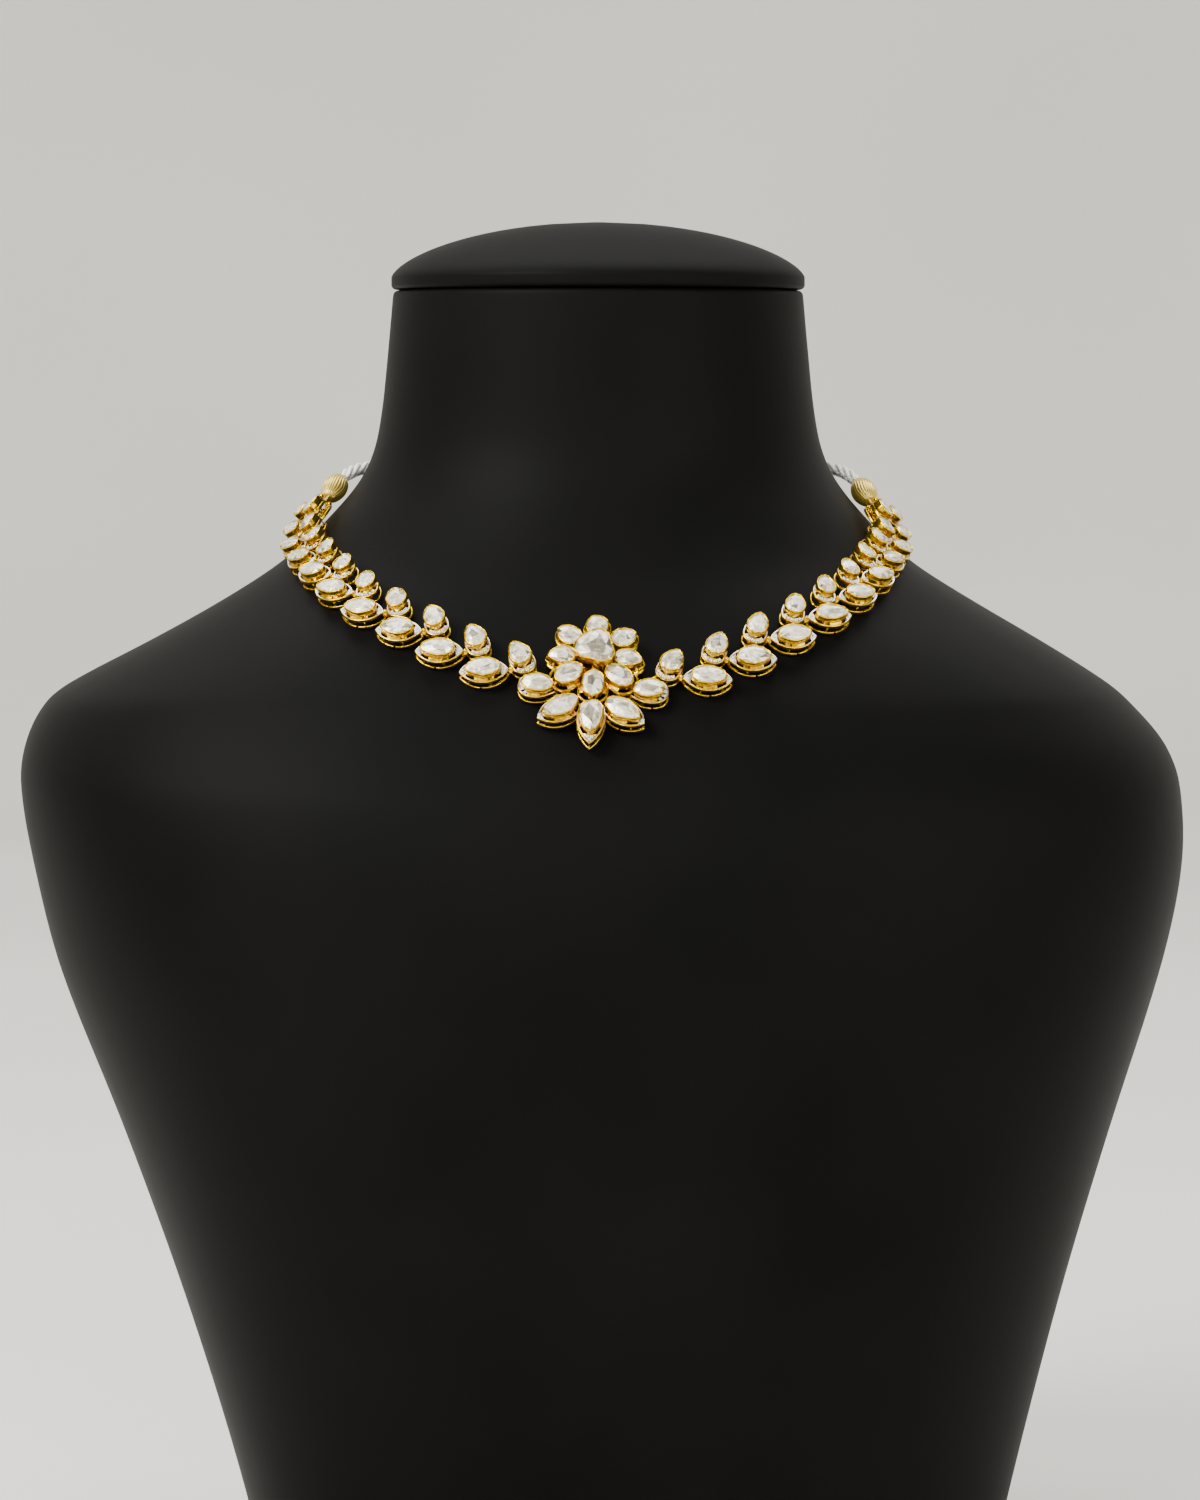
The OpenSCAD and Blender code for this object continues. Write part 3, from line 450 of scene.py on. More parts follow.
# %% Turn the cap
CAP_OVER, CAP_EDGE, CAP_DOME, CAP_ROUND, CAP_GAP = 0.4, 3, 14.2, 1.2, 0.2
DOME_POWER = 1.55
cap_radius = NECK_RADIUS + CAP_OVER
cap_low = NECK_TOP + CAP_GAP
profile = [(1, cap_low), (cap_radius - CAP_ROUND, cap_low)]
for turn in np.radians(np.arange(15, 91, 15)):
    profile.append((cap_radius - CAP_ROUND * (1 - math.sin(turn)),
                    cap_low + CAP_ROUND * (1 - math.cos(turn))))
for share in np.linspace(0, 0.999, 40) ** 1.5:
    profile.append((cap_radius * math.sqrt(1 - share ** DOME_POWER), cap_low + CAP_EDGE + CAP_DOME * share))
turns = np.radians(np.arange(0, 360, 2.5))
cap = Piece()
cap.loft([circle(r, z, turns) for r, z in profile])
cap.make("neck_cap_covering", [leatherette], "neck_cap", "leatherette")
print("cap faces:", len(cap.faces))

# %% [markdown]
# ## Outlines of the settings
# A leaf is where two circles cross. A pear is two arcs that are widest near its round end,
# closed by a circle. Both are convex round their middle, so one function can shoot a ray
# from the middle at any angle and stop at the nearest circle. Growing the circles by an even
# width gives the parallel lines that rails and rims need.

# %% Outlines from crossing circles
PEAR_BELLY, PEAR_ROUND = 0.39, 0.52
LEAF, PEAR, ROUND_OUT = 0, 1, -1


def arc_radius(half, high):
    return (half ** 2 + high ** 2) / (2 * high)


def outline(form, size, grow, angles):
    """Points of a petal's outline, grown by a width, at the given angles round its middle."""
    length, width = size
    flip = -1 if form == ROUND_OUT else 1
    u, v = flip * np.cos(angles), np.sin(angles)
    belly = 0 if form == LEAF else length * (PEAR_BELLY - 0.5)
    radius = arc_radius(length / 2 - belly, width / 2)

    def reach(cx, cy, r):
        near = cx * u + cy * v
        return near + np.sqrt(np.maximum(near ** 2 - cx ** 2 - cy ** 2 + r ** 2, 0))

    far = np.minimum(*[reach(belly, s * (radius - width / 2), radius + grow) for s in (-1, 1)])
    if form != LEAF:
        cx = PEAR_ROUND * width - length / 2
        end = reach(cx, 0, PEAR_ROUND * width + grow)
        far = np.where(end * u <= cx, np.minimum(far, end), far)
    return np.stack([far * u * flip, far * v], 1)


def layer(points, z):
    return np.column_stack([points, np.full(len(points), z)])


RING = np.radians(np.arange(0, 360, 4.5))

# %% [markdown]
# ## Rails, posts and plates
# Each setting stands on a flat rail of gold strip, broken at one place where the strip's ends
# meet. Short posts carry a second rail with a bright upper edge, and bars tie the stone's cup
# to it, so dark windows show between them. At the tips a plate fills the corner, set with
# three or five small diamonds held by grains of metal.

# %% Rails and other gold parts
RAIL_W, RAIL_T, RAIL_GAP = 0.5, 0.7, 1.7
TOP_RAIL = RAIL_T + RAIL_GAP
RAIL_TOP = TOP_RAIL + RAIL_T
CUP_HIGH = 1.9
CUP_RIM = RAIL_TOP + CUP_HIGH
STONE_GAP, CUP_WALL = 0.15, 0.35
WALL_LOW = RAIL_TOP - 0.1
# Where gold fills the way from a cup's wall down to its rail, in degrees. Between lie dark windows
PANELS = ((57, 105), (121, 128), (232, 239), (255, 303))
STONE_RISE = 0.5
POST_R = 0.32
POST_SEEN = 0.21
BAR_W, BAR_SHARE = 0.5, 0.22
PLATE_LAP = 0.3
# The photo's rails stand closer than the CAD model's: the top one reaches down, the base one up
DEEPER, TALLER = 0.2, 0.1
# Faces of a strip's section, counted from the lower outer edge
STRIP_ROUND = 0.13
UPPER_FACE, OUTER_SIDE = 8, 11


def strip_section(low, high):
    """A gold strip's section as (growth, height) pairs, with rounded edges."""
    r, e = STRIP_ROUND, STRIP_ROUND * 0.3
    half = [(0, r), (-e, e), (-r, 0), (r - RAIL_W, 0), (e - RAIL_W, e), (-RAIL_W, r)]
    return [(x, low + z) for x, z in half] + [(x, high - z) for x, z in half[::-1]]


def rail(piece, form, size, low, break_x=None, bright=False):
    """A flat rail round a setting. The base rail has a gap in it at break_x."""
    section = strip_section(low - (DEEPER if low else 0), low + RAIL_T + (0 if low else TALLER))
    angles = RING
    if break_x is not None:
        probe = outline(form, size, 0, np.radians(np.arange(181, 360, 1.0)))
        at = probe[np.argmin(abs(probe[:, 0] - break_x))]
        half = RAIL_W / 2 / np.hypot(*at)
        cut = math.atan2(at[1], at[0])
        start, stop = cut + half, cut + 2 * np.pi - half
        inside = cut + np.sort((RING - cut) % (2 * np.pi))
        angles = np.array([start, *inside[(inside > start + 0.02) & (inside < stop - 0.02)], stop])
    rings = [layer(outline(form, size, grow, angles), z) for grow, z in section]
    finish = [GOLD] * len(section)
    # The outer side of a rail gets the darker gold, painted as shade
    finish[OUTER_SIDE] = FILED_PAINTED_DARKER
    if bright:
        finish[UPPER_FACE] = WHITE
    piece.loft(rings, around=break_x is None, along=True, finish=finish)


def post(piece, x, y, low, high, radius=POST_SEEN):
    turns = np.radians(np.arange(0, 360, 36))
    piece.loft([circle(radius, z, turns, x, y) for z in (low, high)])


def beam(piece, sides, heights, ends):
    """A square bar that runs along Y from one end to the other."""
    (left, right), (low, high) = sides, heights
    section = [(left, low), (left, high), (right, high), (right, low)]
    piece.loft([[(x, y, z) for x, z in section] for y in ends], smooth=False)


def bar(piece, x, half, lift):
    """A bar across a setting under the cup, from one side of its rail to the other."""
    heights = (TOP_RAIL + lift + 0.05, RAIL_TOP + lift - 0.1)
    beam(piece, (x - BAR_W / 2, x + BAR_W / 2), heights, (-half, half))


def grain(piece, x, y, z, radius, finish=WHITE):
    """A small ball: a grain of metal that holds a stone."""
    turns = np.radians(np.arange(0, 360, 60))
    piece.loft([circle(radius * math.cos(tilt), z + radius * math.sin(tilt), turns, x, y)
                for tilt in np.radians([-70, -25, 25, 70])], finish=finish)


def small_diamond(piece, x, y, z, width, turn):
    """An eight-sided cut stone with a table, facets painted lighter and darker as reflections, and four
    grains round it.
    """
    r = width / 2
    start = len(piece.faces)
    # Share of the radius, height and turn of each ring of corners, from the bottom up
    rows = ((0.75, -0.12, 0), (1, 0, 0), (0.8, 0.12 * width, 22.5), (0.5, 0.24 * width, 0))
    piece.loft([circle(r * share, z + high, np.radians(np.arange(0, 360, 45) + offset + turn), x, y)
                for share, high, offset in rows], finish=SPARK, smooth=False)
    # Each facet gets its own painted reflection, lighter or darker
    for i in range(start, len(piece.faces)):
        piece.tone[i] = (0.37 * i + 0.21 * turn) % 1
    for a in np.radians(np.arange(45, 360, 90) + turn):
        grain(piece, x + r * 1.12 * math.cos(a), y + r * 1.12 * math.sin(a), z + 0.02, 0.13)


def tip_plate(piece, form, size, side, edge_x, top_z):
    """The plate in one end of a setting, from edge_x out to the rail on that side."""
    angles = np.radians(np.linspace(-89, 89, 120)) + (0 if side > 0 else math.pi)
    line = outline(form, size, 0.1 - RAIL_W, angles)
    line = line[line[:, 0] * side > edge_x * side]
    if len(line) < 3:
        return
    rings = [layer(line, z) for z in (top_z - 0.45, top_z)]
    piece.loft(rings, finish=WHITE, smooth=False)


# %% [markdown]
# ## Cups and stones
# The cup is a band of gold raised round the stone, and kundan foil is pressed over the
# stone's edge with a burnisher, which leaves a thin and slightly wavy rim. A stone has no
# regular cut. It is made as the hull of its outline, a second uneven ring of points higher
# up, and a small table, which gives flat facets of different sizes.

# %% Cup and stone outlines
STONE_SIDES = 12
STRAY = 0.035
FLAT_SIDES = 0.7
CUP_STEPS = 60
LEG_W, LEG_T = 0.42, 0.26


def oval_points(stone, grow, turn, wave):
    """Points of an uneven oval, at these turns and with these strays.

    A stone is (length, width, taper, point, three-sidedness, seed)."""
    length, width, taper, point, three, seed = stone
    stray = 1 + STRAY * wave + three * np.cos(3 * turn)
    x = (length / 2 + grow) * np.cos(turn) * stray
    y = (width / 2 + grow) * np.sin(turn) * stray
    return np.stack([x, y * (1 - taper * np.cos(turn)) * (1 - point * np.cos(turn) ** 2)], 1)


def stray_of(stone):
    i = np.arange(STONE_SIDES)
    return np.sin(np.radians(131 * stone[5] + 97 * i * (1 + stone[5] % 3)))


def stone_corners(stone, grow):
    """The corners of a stone's outline in CAD."""
    return oval_points(stone, grow, 2 * np.pi * np.arange(STONE_SIDES) / STONE_SIDES, stray_of(stone))


def stone_line(stone, grow, count=60):
    """A stone's outline with its corners eased."""
    wave = stray_of(stone)
    t = np.linspace(0, STONE_SIDES, count, endpoint=False)
    low = t.astype(int)
    f = t - low
    soft = f * f * (3 - 2 * f)
    wave = wave[low] * (1 - soft) + wave[(low + 1) % STONE_SIDES] * soft
    turn = 2 * np.pi * t / STONE_SIDES
    curve = oval_points(stone, grow, turn, wave)
    corners = stone_corners(stone, grow)
    chord = corners[low] * (1 - f)[:, None] + corners[(low + 1) % STONE_SIDES] * f[:, None]
    return curve * (1 - FLAT_SIDES) + chord * FLAT_SIDES


def rim_line(stone, grow, z, ripple, share):
    """A level line of a cup's wall, made slightly wavy."""
    line = layer(stone_line(stone, grow, len(ripple)), z)
    line[:, 2] += ripple * 0.05 * share
    line[:, :2] *= (1 + ripple * 0.006 * share)[:, None]
    return line


def cup(piece, stone, low, wall_low, rim):
    """A narrow base painted dark brown as shade, a wall above it that leans out, and a rim burnished over the
    stone.
    """
    wavy = np.random.default_rng(int(stone[5]) + 7).normal(0, 1, CUP_STEPS)
    ripple = np.convolve(np.tile(wavy, 3), np.ones(4) / 4, "same")[CUP_STEPS:2 * CUP_STEPS]
    # How far past the stone, how high, and what share of the ripple
    section = [(-0.5, low, 0), (-0.4, wall_low - 0.1, 0), (0.3, wall_low - 0.05, 0),
               (0.4, wall_low + 0.03, 0), (0.38, (wall_low + rim) / 2 - 0.1, 0.5), (0.44, rim - 0.3, 1),
               (0.43, rim - 0.08, 1), (0.35, rim + 0.05, 1), (0.22, rim + 0.1, 1), (0.1, rim + 0.07, 1),
               (0.02, rim - 0.05, 1)]
    # The two lowest strips are the inner base, painted dark brown as shade; the next three are the wall,
    # whose gold is painted darker as shade; the rest is burnished gold
    finish = [INSIDE_PAINTED_SHADE] * 2 + [FILED_PAINTED_DARKER] * 3 + [GOLD] * 5
    lines = [rim_line(stone, grow, z, ripple, share) for grow, z, share in section]
    piece.loft(lines, caps=False, finish=finish)
    # The bottom face is painted dark as shade too
    piece.add(rim_line(stone, -0.5, low, ripple, 0), [list(range(CUP_STEPS))], INSIDE_PAINTED_SHADE)


def leg(piece, start, end):
    """A short flat strut between two points, standing across the way between them."""
    start, end = np.array(start, float), np.array(end, float)
    way = end - start
    across = np.cross(way, (0, 0, 1))
    across *= LEG_W / 2 / np.linalg.norm(across)
    out = np.cross(across, way)
    out *= LEG_T / 2 / np.linalg.norm(out)
    ends = [[p + across + out, p - across + out, p - across - out, p + across - out] for p in (start, end)]
    piece.loft(ends, smooth=False)


def uncut_stone(stone, rim):
    """An irregular flat stone, with painted light on its facets and places for its finish."""
    seed = int(stone[5])
    chance = np.random.default_rng(seed * 13 + 1)
    edge = layer(stone_line(stone, 0.02, 40), rim - 0.08)
    # Five to seven corners halfway up, then four or five round the table
    count = chance.integers(5, 8)
    spots = (np.arange(count) + chance.uniform(-0.3, 0.3, count)) / count * 2 * np.pi
    shoulder = stone_line(stone, 0, 360)[(spots / (2 * np.pi) * 360).astype(int) % 360]
    shares = chance.uniform(0.68, 0.86, count)
    middle = np.array([stone[0], stone[1]]) * chance.uniform(-0.16, 0.16, 2)
    ring = layer(middle + (shoulder - middle) * shares[:, None], rim + STONE_RISE * 0.7)
    ring[:, 2] += chance.uniform(-0.3, 0.14, count) * STONE_RISE
    few = chance.integers(4, 6)
    turns = (np.arange(few) + chance.uniform(0, 0.4, few)) / few * 2 * np.pi
    inner = stone_line(stone, 0, 360)[np.degrees(turns).astype(int) % 360]
    table = layer(middle + (inner - middle) * chance.uniform(0.38, 0.62, few)[:, None], rim)
    table[:, 2] += STONE_RISE * chance.uniform(0.84, 1.0, few)
    work = bmesh.new()
    for p in np.vstack([edge, ring, table]):
        work.verts.new(p)
    bmesh.ops.convex_hull(work, input=work.verts)
    bmesh.ops.dissolve_limit(work, angle_limit=math.radians(3), verts=work.verts, edges=work.edges)
    bmesh.ops.delete(work, geom=[v for v in work.verts if not v.link_faces], context="VERTS")
    work.verts.index_update()
    piece = Piece()
    points = [tuple(v.co) for v in work.verts]
    faces = [[v.index for v in face.verts] for face in work.faces]
    # Each facet gets a random amount of painted reflection
    painted_light_values = [chance.uniform(0, 1) ** 0.6 for _ in faces]
    work.free()
    piece.add(points, faces, 0, False, painted_light_values)
    piece.places = {i: (x - middle[0], y - middle[1], seed * 3.7) for i, (x, y, _) in enumerate(points)}
    return piece


# %% [markdown]
# ## One setting
# A setting puts those parts together: base rail, posts, top rail, bars, plates and cup. Where
# each post stands, and where the base rail is broken, is as in the CAD model.

# %% Put a setting together
# Length and width as shares of the setting's, taper, point, and how far along the setting
LEAF_STONE = (0.66, 0.66, 0.06, 0.16, 0.01)
PEAR_STONE = (0.66, 0.76, 0.20, 0.06, 0.07)
ROUND_OUT_STONE = (0.70, 0.66, -0.05, 0.05, 0.02)
# Small diamonds are sized for a leaf this wide, and fall with the setting's width
FULL_WIDTH = 7.2
# Bars and panels end inside the rail, this share of its width from its outer edge
RAIL_SEAT = 0.6


def half_width(form, size, x):
    """Half of a petal's width at x."""
    angles = np.radians(np.arange(0.5, 180, 0.5))
    line = outline(form, size, 0, angles)
    order = np.argsort(line[:, 0])
    return float(np.interp(x, line[order, 0], line[order, 1]))


def sized_stone(size, shape, seed):
    return (size[0] * shape[0], size[1] * shape[1], shape[2], shape[3], 0, seed)


def petal_posts(form, size):
    spots = [(size[0] / 2 - (0.5 if form == ROUND_OUT else 1.2) * RAIL_W, 0)]
    for share in (0.3, -0.12):
        x = share * size[0]
        spots.append((x, RAIL_W / 2 - half_width(form, size, x)))
    return spots


def diamonds_at_end(piece, form, size, side, start, z):
    """Three small diamonds in a pointed end, or an arc of five in a round one."""
    pointed = form == LEAF or side == (1 if form == PEAR else -1)
    scale = size[1] / FULL_WIDTH
    if pointed:
        room = size[0] / 2 - RAIL_W - abs(start)
        small = 0.72 * scale
        for along, across, width in ((0.17, 0.5, small), (0.17, -0.5, small), (0.55, 0, small * 0.95)):
            x = side * (abs(start) + along * room + 0.2)
            small_diamond(piece, x, across * scale, z, width, 17 * along)
        return
    centre = side * (size[0] / 2 - PEAR_ROUND * size[1])
    radius = PEAR_ROUND * size[1] - RAIL_W - 0.42
    for turn in (-56, -28, 0, 28, 56):
        a = math.radians(turn) + (0 if side > 0 else math.pi)
        small_diamond(piece, centre + radius * math.cos(a), radius * math.sin(a), z, 0.78 * scale, turn)


def setting(form, size, stone, stone_x, posts, break_x, lift=0, plates=(-1, 1), bright=True):
    """One open setting round its own middle."""
    piece = Piece()
    rail(piece, form, size, 0, break_x)
    rail(piece, form, size, TOP_RAIL + lift, None, bright)
    for x, y in posts:
        post(piece, x, y, RAIL_T / 2, TOP_RAIL + lift + RAIL_T / 2)
    for s in (-1, 1):
        x = stone_x + s * BAR_SHARE * stone[0]
        bar(piece, x, half_width(form, size, x) - RAIL_W * RAIL_SEAT, lift)
        edge = stone_x + s * (stone[0] / 2 + STONE_GAP + CUP_WALL - PLATE_LAP)
        if s in plates:
            tip_plate(piece, form, size, s, edge, RAIL_TOP + lift - 0.12)
            diamonds_at_end(piece, form, size, s, edge + s * PLATE_LAP, RAIL_TOP + lift)
    raised = Piece()
    cup(raised, stone, TOP_RAIL, WALL_LOW, CUP_RIM)
    wall = stone_line(stone, 0.3, 360)
    for start, stop in PANELS:
        # A sloping plate about 0.3 mm thick, from the cup's wall down to the rail
        strip = []
        for turn in np.linspace(start, stop, 9).astype(int):
            x, y = wall[turn]
            seat = half_width(form, size, x + stone_x) - RAIL_W * RAIL_SEAT
            far = math.copysign(max(seat, abs(y) + 0.05), y)
            strip.append([(x, y, WALL_LOW + 0.45), (x, far, RAIL_TOP - 0.1),
                          (x, far, RAIL_TOP - 0.4), (x, y, WALL_LOW + 0.1)])
        # The panels get the darker gold, painted as shade
        raised.loft(strip, finish=FILED_PAINTED_DARKER, smooth=False)
    piece.place(raised, lambda p: p + np.array([stone_x, 0, lift]))
    return piece


def flat_turn(turn, move):
    """A function that turns points about Z by some degrees and then moves them."""
    a = math.radians(turn)
    turned = np.array([[math.cos(a), math.sin(a), 0], [-math.sin(a), math.cos(a), 0], [0, 0, 1]])
    return lambda p: p @ turned + np.array([*move, 0][:3])


def spaced(origin, along, out, side=1):
    """A function from a link's own space to the bust: along the chain, up, and out."""
    axes = np.array([along, side * np.cross(out, along), out])
    return lambda p: np.asarray(p) @ axes + origin


print("height of a setting in mm:", round(CUP_RIM + STONE_RISE, 1))

# %% [markdown]
# ## The links
# A link is a leaf and a pear, soldered at a bead that is the link's origin. Sizes fall evenly
# to 0.86 of the first link's at the clasp end. The rims of a link's two cups are the highest
# corners of its CAD node, so the middles of both rims, and the way that the link faces, say
# where the link lies and how it is turned.

# %% Sizes of the links
SIDE_NAMES = {-1: "left", 1: "right"}
LINKS, LAST_SHARE = 10, 0.86
LEAF_SIZE, PEAR_SIZE = np.array([12.2, 7.2]), np.array([9.2, 6.2])
LEAF_TURN, PEAR_TURN = 28.5, 38
BEAD_GAP, PEAR_LEAD = 0.4, 0.19
RING_POST = -0.03


def along_turn(r, turn):
    return np.array([r * math.cos(math.radians(turn)), r * math.sin(math.radians(turn))])


def link_share(k):
    return 1 - (1 - LAST_SHARE) * (k - 1) / (LINKS - 1)


def leaf_middle(k):
    return along_turn(LEAF_SIZE[0] * link_share(k) / 2 + BEAD_GAP, -LEAF_TURN)


def hook_spot(k):
    """The post that a leaf's ring hooks round, on the leaf."""
    leaf = LEAF_SIZE * link_share(k)
    x = RING_POST * leaf[0]
    return x, half_width(LEAF, leaf, x) - RAIL_W / 2


def pear_middle(k):
    size = PEAR_SIZE * link_share(k)
    return along_turn(size[1] / 2 + BEAD_GAP, PEAR_TURN + 90) + along_turn(PEAR_LEAD * size[0], PEAR_TURN)


def link_gems(side, k):
    """The stones of a link's leaf and pear, each with its way from the stone's space to the link's."""
    leaf, pear = LEAF_SIZE * link_share(k), PEAR_SIZE * link_share(k)
    at_leaf, at_pear = flat_turn(-LEAF_TURN, leaf_middle(k)), flat_turn(PEAR_TURN, pear_middle(k))
    return [(sized_stone(leaf, LEAF_STONE, 2 * k + side), LEAF_STONE[4] * leaf[0], at_leaf),
            (sized_stone(pear, PEAR_STONE, 3 * k + side + 40), PEAR_STONE[4] * pear[0], at_pear)]


def middle_of(stone, x, way, grow=0):
    """Where the middle of a stone's corners lies on its piece."""
    corner = stone_corners(stone, grow).mean(0)
    return way(np.array([[corner[0] + x, corner[1], 0]]))[0]


def link_place(side, k):
    """A link's origin, way along and way out, from the rims of its two cups."""
    node = f"{SIDE_NAMES[side]}_link_{k}"
    middle, ways = faces_of(node)
    out = facing(ways, middle)
    rims = level_of(node, out)
    long_way = np.linalg.svd(rims - rims.mean(0))[2][0]
    halves = np.split(rims[np.argsort(rims @ long_way)], 2)
    pear, leaf = sorted(halves, key=lambda rim: np.linalg.norm(rim - rim.mean(0), axis=1).max())
    known = [middle_of(*gem, STONE_GAP + CUP_WALL / 2) for gem in link_gems(side, k)]
    return place_from([leaf.mean(0), pear.mean(0)], known, CUP_RIM, out, side)


# %% Read where the links lie
PLACES = {side: [link_place(side, k) for k in range(1, LINKS + 1)] for side in SIDE_NAMES}
print("first links at, in mm:", [np.round(PLACES[side][0][0], 1).tolist() for side in SIDE_NAMES])

# %% Solder the links and lay in their stones
for side, name in SIDE_NAMES.items():
    stones = Piece()
    for k in range(1, LINKS + 1):
        leaf, pear = LEAF_SIZE * link_share(k), PEAR_SIZE * link_share(k)
        gems = link_gems(side, k)
        (leaf_gem, leaf_x, at_leaf), (pear_gem, pear_x, at_pear) = gems
        link = Piece()
        posts = petal_posts(LEAF, leaf) + [hook_spot(k)]
        link.place(setting(LEAF, leaf, leaf_gem, leaf_x, posts, 0.08 * leaf[0]), at_leaf)
        ends = [(RAIL_W / 2 - pear[0] / 2, 0), (pear[0] / 2 - 1.2 * RAIL_W, 0)]
        link.place(setting(PEAR, pear, pear_gem, pear_x, ends, 0.05 * pear[0], plates=(-1,)), at_pear)
        # The bead that the two settings are soldered at
        bead_r = BEAD_GAP + RAIL_W / 2
        post(link, 0, 0, 0.05, RAIL_TOP - 0.1, bead_r - 0.03)
        grain(link, 0, 0, RAIL_TOP - 0.05, bead_r - 0.05, GOLD)
        space = spaced(*PLACES[side][k - 1], side)
        link.move(space)
        link.make(f"{name}_link_{k}_gold", SETTING_FINISHES, f"{name}_link_{k}", "gold")
        for gem, x, turn in gems:
            stones.place(uncut_stone(gem, CUP_RIM), lambda p: space(turn(p + np.array([x, 0, 0]))))
    stones.make(name + "_uncut_stones", [uncut], name + "_link_stones", "uncut_stone")
    print(name, "links:", len(link.faces), "faces in the last,", len(stones.faces), "stone facets")

# %% [markdown]
# ## The flower
# The pendant is one soldered piece: a round base plate, arms under the petals, five tall cups
# round the top, three middle petals, five outer petals, and a raised three-sided stone on a
# drum. The rows below repeat each stone's angle from the flower's top, its radius, its turn
# and its size as shares of a common size. Where the flower lies comes from its CAD nodes: the
# middles of the undersides of two of its stones, and the way that its frame faces.

# %% The flower's table
CROWN_R, CROWN_L, CROWN_W = 7.7, 5.8, 4.7
INNER_R, INNER_L, INNER_W = 8.9, 7, 4.9
OUTER_R, OUTER_L, OUTER_W = 16.9, 12.6, 7.2
TIER = 1.2
PETAL_LAP = 0.15
# Angle, share of the radius, turn, shares of length and width, and taper
CROWN_ROWS = [(-100, 1.06, -97, 1.06, 0.88, 0.24), (-56, 1.02, -62, 1, 1, 0.06),
              (0, 0.96, 0, 0.94, 1.04, -0.04), (56, 1.02, 62, 1, 1, 0.06), (100, 1.06, 97, 1.06, 0.88, 0.24)]
# Angle, share of the radius, and turn
INNER_ROWS = [(-137, 1, -126), (180, 1.02, 180), (137, 1, 126)]
# Angle, share of the radius, turn, shares of length and width, and form
OUTER_ROWS = [(-124.5, 0.945, -86, 0.8, 0.94, ROUND_OUT), (-154, 1, -119, 1, 1, LEAF),
              (180, 1.1, 180, 1, 0.98, PEAR), (154, 1, 119, 1, 1, LEAF),
              (124.5, 0.945, 86, 0.8, 0.94, ROUND_OUT)]
OUTER_SHAPES = {LEAF: (0.7, 0.68, 0.1, 0.22, 0.01), PEAR: PEAR_STONE, ROUND_OUT: ROUND_OUT_STONE}
# The middle stone, as (length, width, taper, point, three-sidedness, seed)
HEART = (8.8, 8.8, 0, 0, 0.12, 5)
HEART_TURN = 76
HEART_RISE, CUP_FLOOR = 2.4, 0.1
HEART_LOW = CUP_RIM + STONE_RISE + 0.2
HEART_RIM = CUP_RIM + HEART_RISE
HEART_KEEL = TIER + HEART_LOW + CUP_WALL + CUP_FLOOR + STONE_GAP


def petal_spot(row, radius):
    a = math.radians(row[0])
    return (row[1] * radius * math.sin(a), row[1] * radius * math.cos(a))


def at_petal(row, radius, lift=0):
    """The way from a petal's own space to the flower's."""
    return flat_turn(90 - row[2], (*petal_spot(row, radius), lift))


def outer_gem(i):
    """An outer petal's stone, and its place on the petal's axis."""
    row = OUTER_ROWS[i]
    size, shape = (OUTER_L * row[3], OUTER_W * row[4]), OUTER_SHAPES[row[5]]
    return sized_stone(size, shape, 31 + i), shape[4] * size[0] * (-1 if row[5] == PEAR else 1)


def flower_place():
    """The flower's origin, way along and way out."""
    middle, ways = faces_of("pendant_frame")
    out = facing(ways, middle)
    found = [level_of(name, out, top=False).mean(0) for name in ("centre_stone", "outer_stone_3")]
    known = [middle_of(HEART, 0, flat_turn(HEART_TURN, (0, 0))),
             middle_of(*outer_gem(2), at_petal(OUTER_ROWS[2], OUTER_R))]
    return place_from(found, known, HEART_KEEL, out)


FLOWER = flower_place()
flower_space = spaced(*FLOWER)
print("flower at, in mm:", np.round(FLOWER[0], 1).tolist())


def gallery(piece, stone, low):
    """A thin gold ring that runs round a crown cup, tied to it by six short bars."""
    section = [(0.72, low), (0.72, low + 0.45), (0.8, low + 0.52), (0.95, low + 0.45), (0.95, low),
               (0.85, low - 0.05)]
    piece.loft([layer(stone_line(stone, grow), z) for grow, z in section], along=True)
    for a, b in zip(stone_line(stone, 0.3, 7), stone_line(stone, 0.8, 7)):
        leg(piece, (*a, WALL_LOW + 0.25), (*b, low + 0.3))


# %% Solder the flower
flower = Piece()
plate_r, edge = CROWN_R + CROWN_L / 5, 0.15
disc = [(0.05, 0), (plate_r - edge, 0), (plate_r, edge), (plate_r, RAIL_T - edge), (plate_r - edge, RAIL_T),
        (0.05, RAIL_T)]
drum_r = 0.4 * HEART[0]
drum = [(drum_r, 0.3), (drum_r, 5.9), (drum_r + 0.25, 6.2), (drum_r, 6.5), (drum_r, 7.2)]
for profile in (disc, drum):
    flower.loft([circle(r, z, np.radians(np.arange(0, 360, 5))) for r, z in profile])
for row in OUTER_ROWS:
    arm = Piece()
    beam(arm, (-0.6, 0.6), (0.05, RAIL_T - 0.05), (0, row[1] * OUTER_R))
    flower.place(arm, flat_turn(-row[0], (0, 0)))
# The middle cup reaches further down than in the CAD model
heart_cup = Piece()
cup(heart_cup, HEART, HEART_LOW - 1.4, HEART_LOW - 1.0, HEART_RIM)
flower.place(heart_cup, flat_turn(HEART_TURN, (0, 0, TIER)))

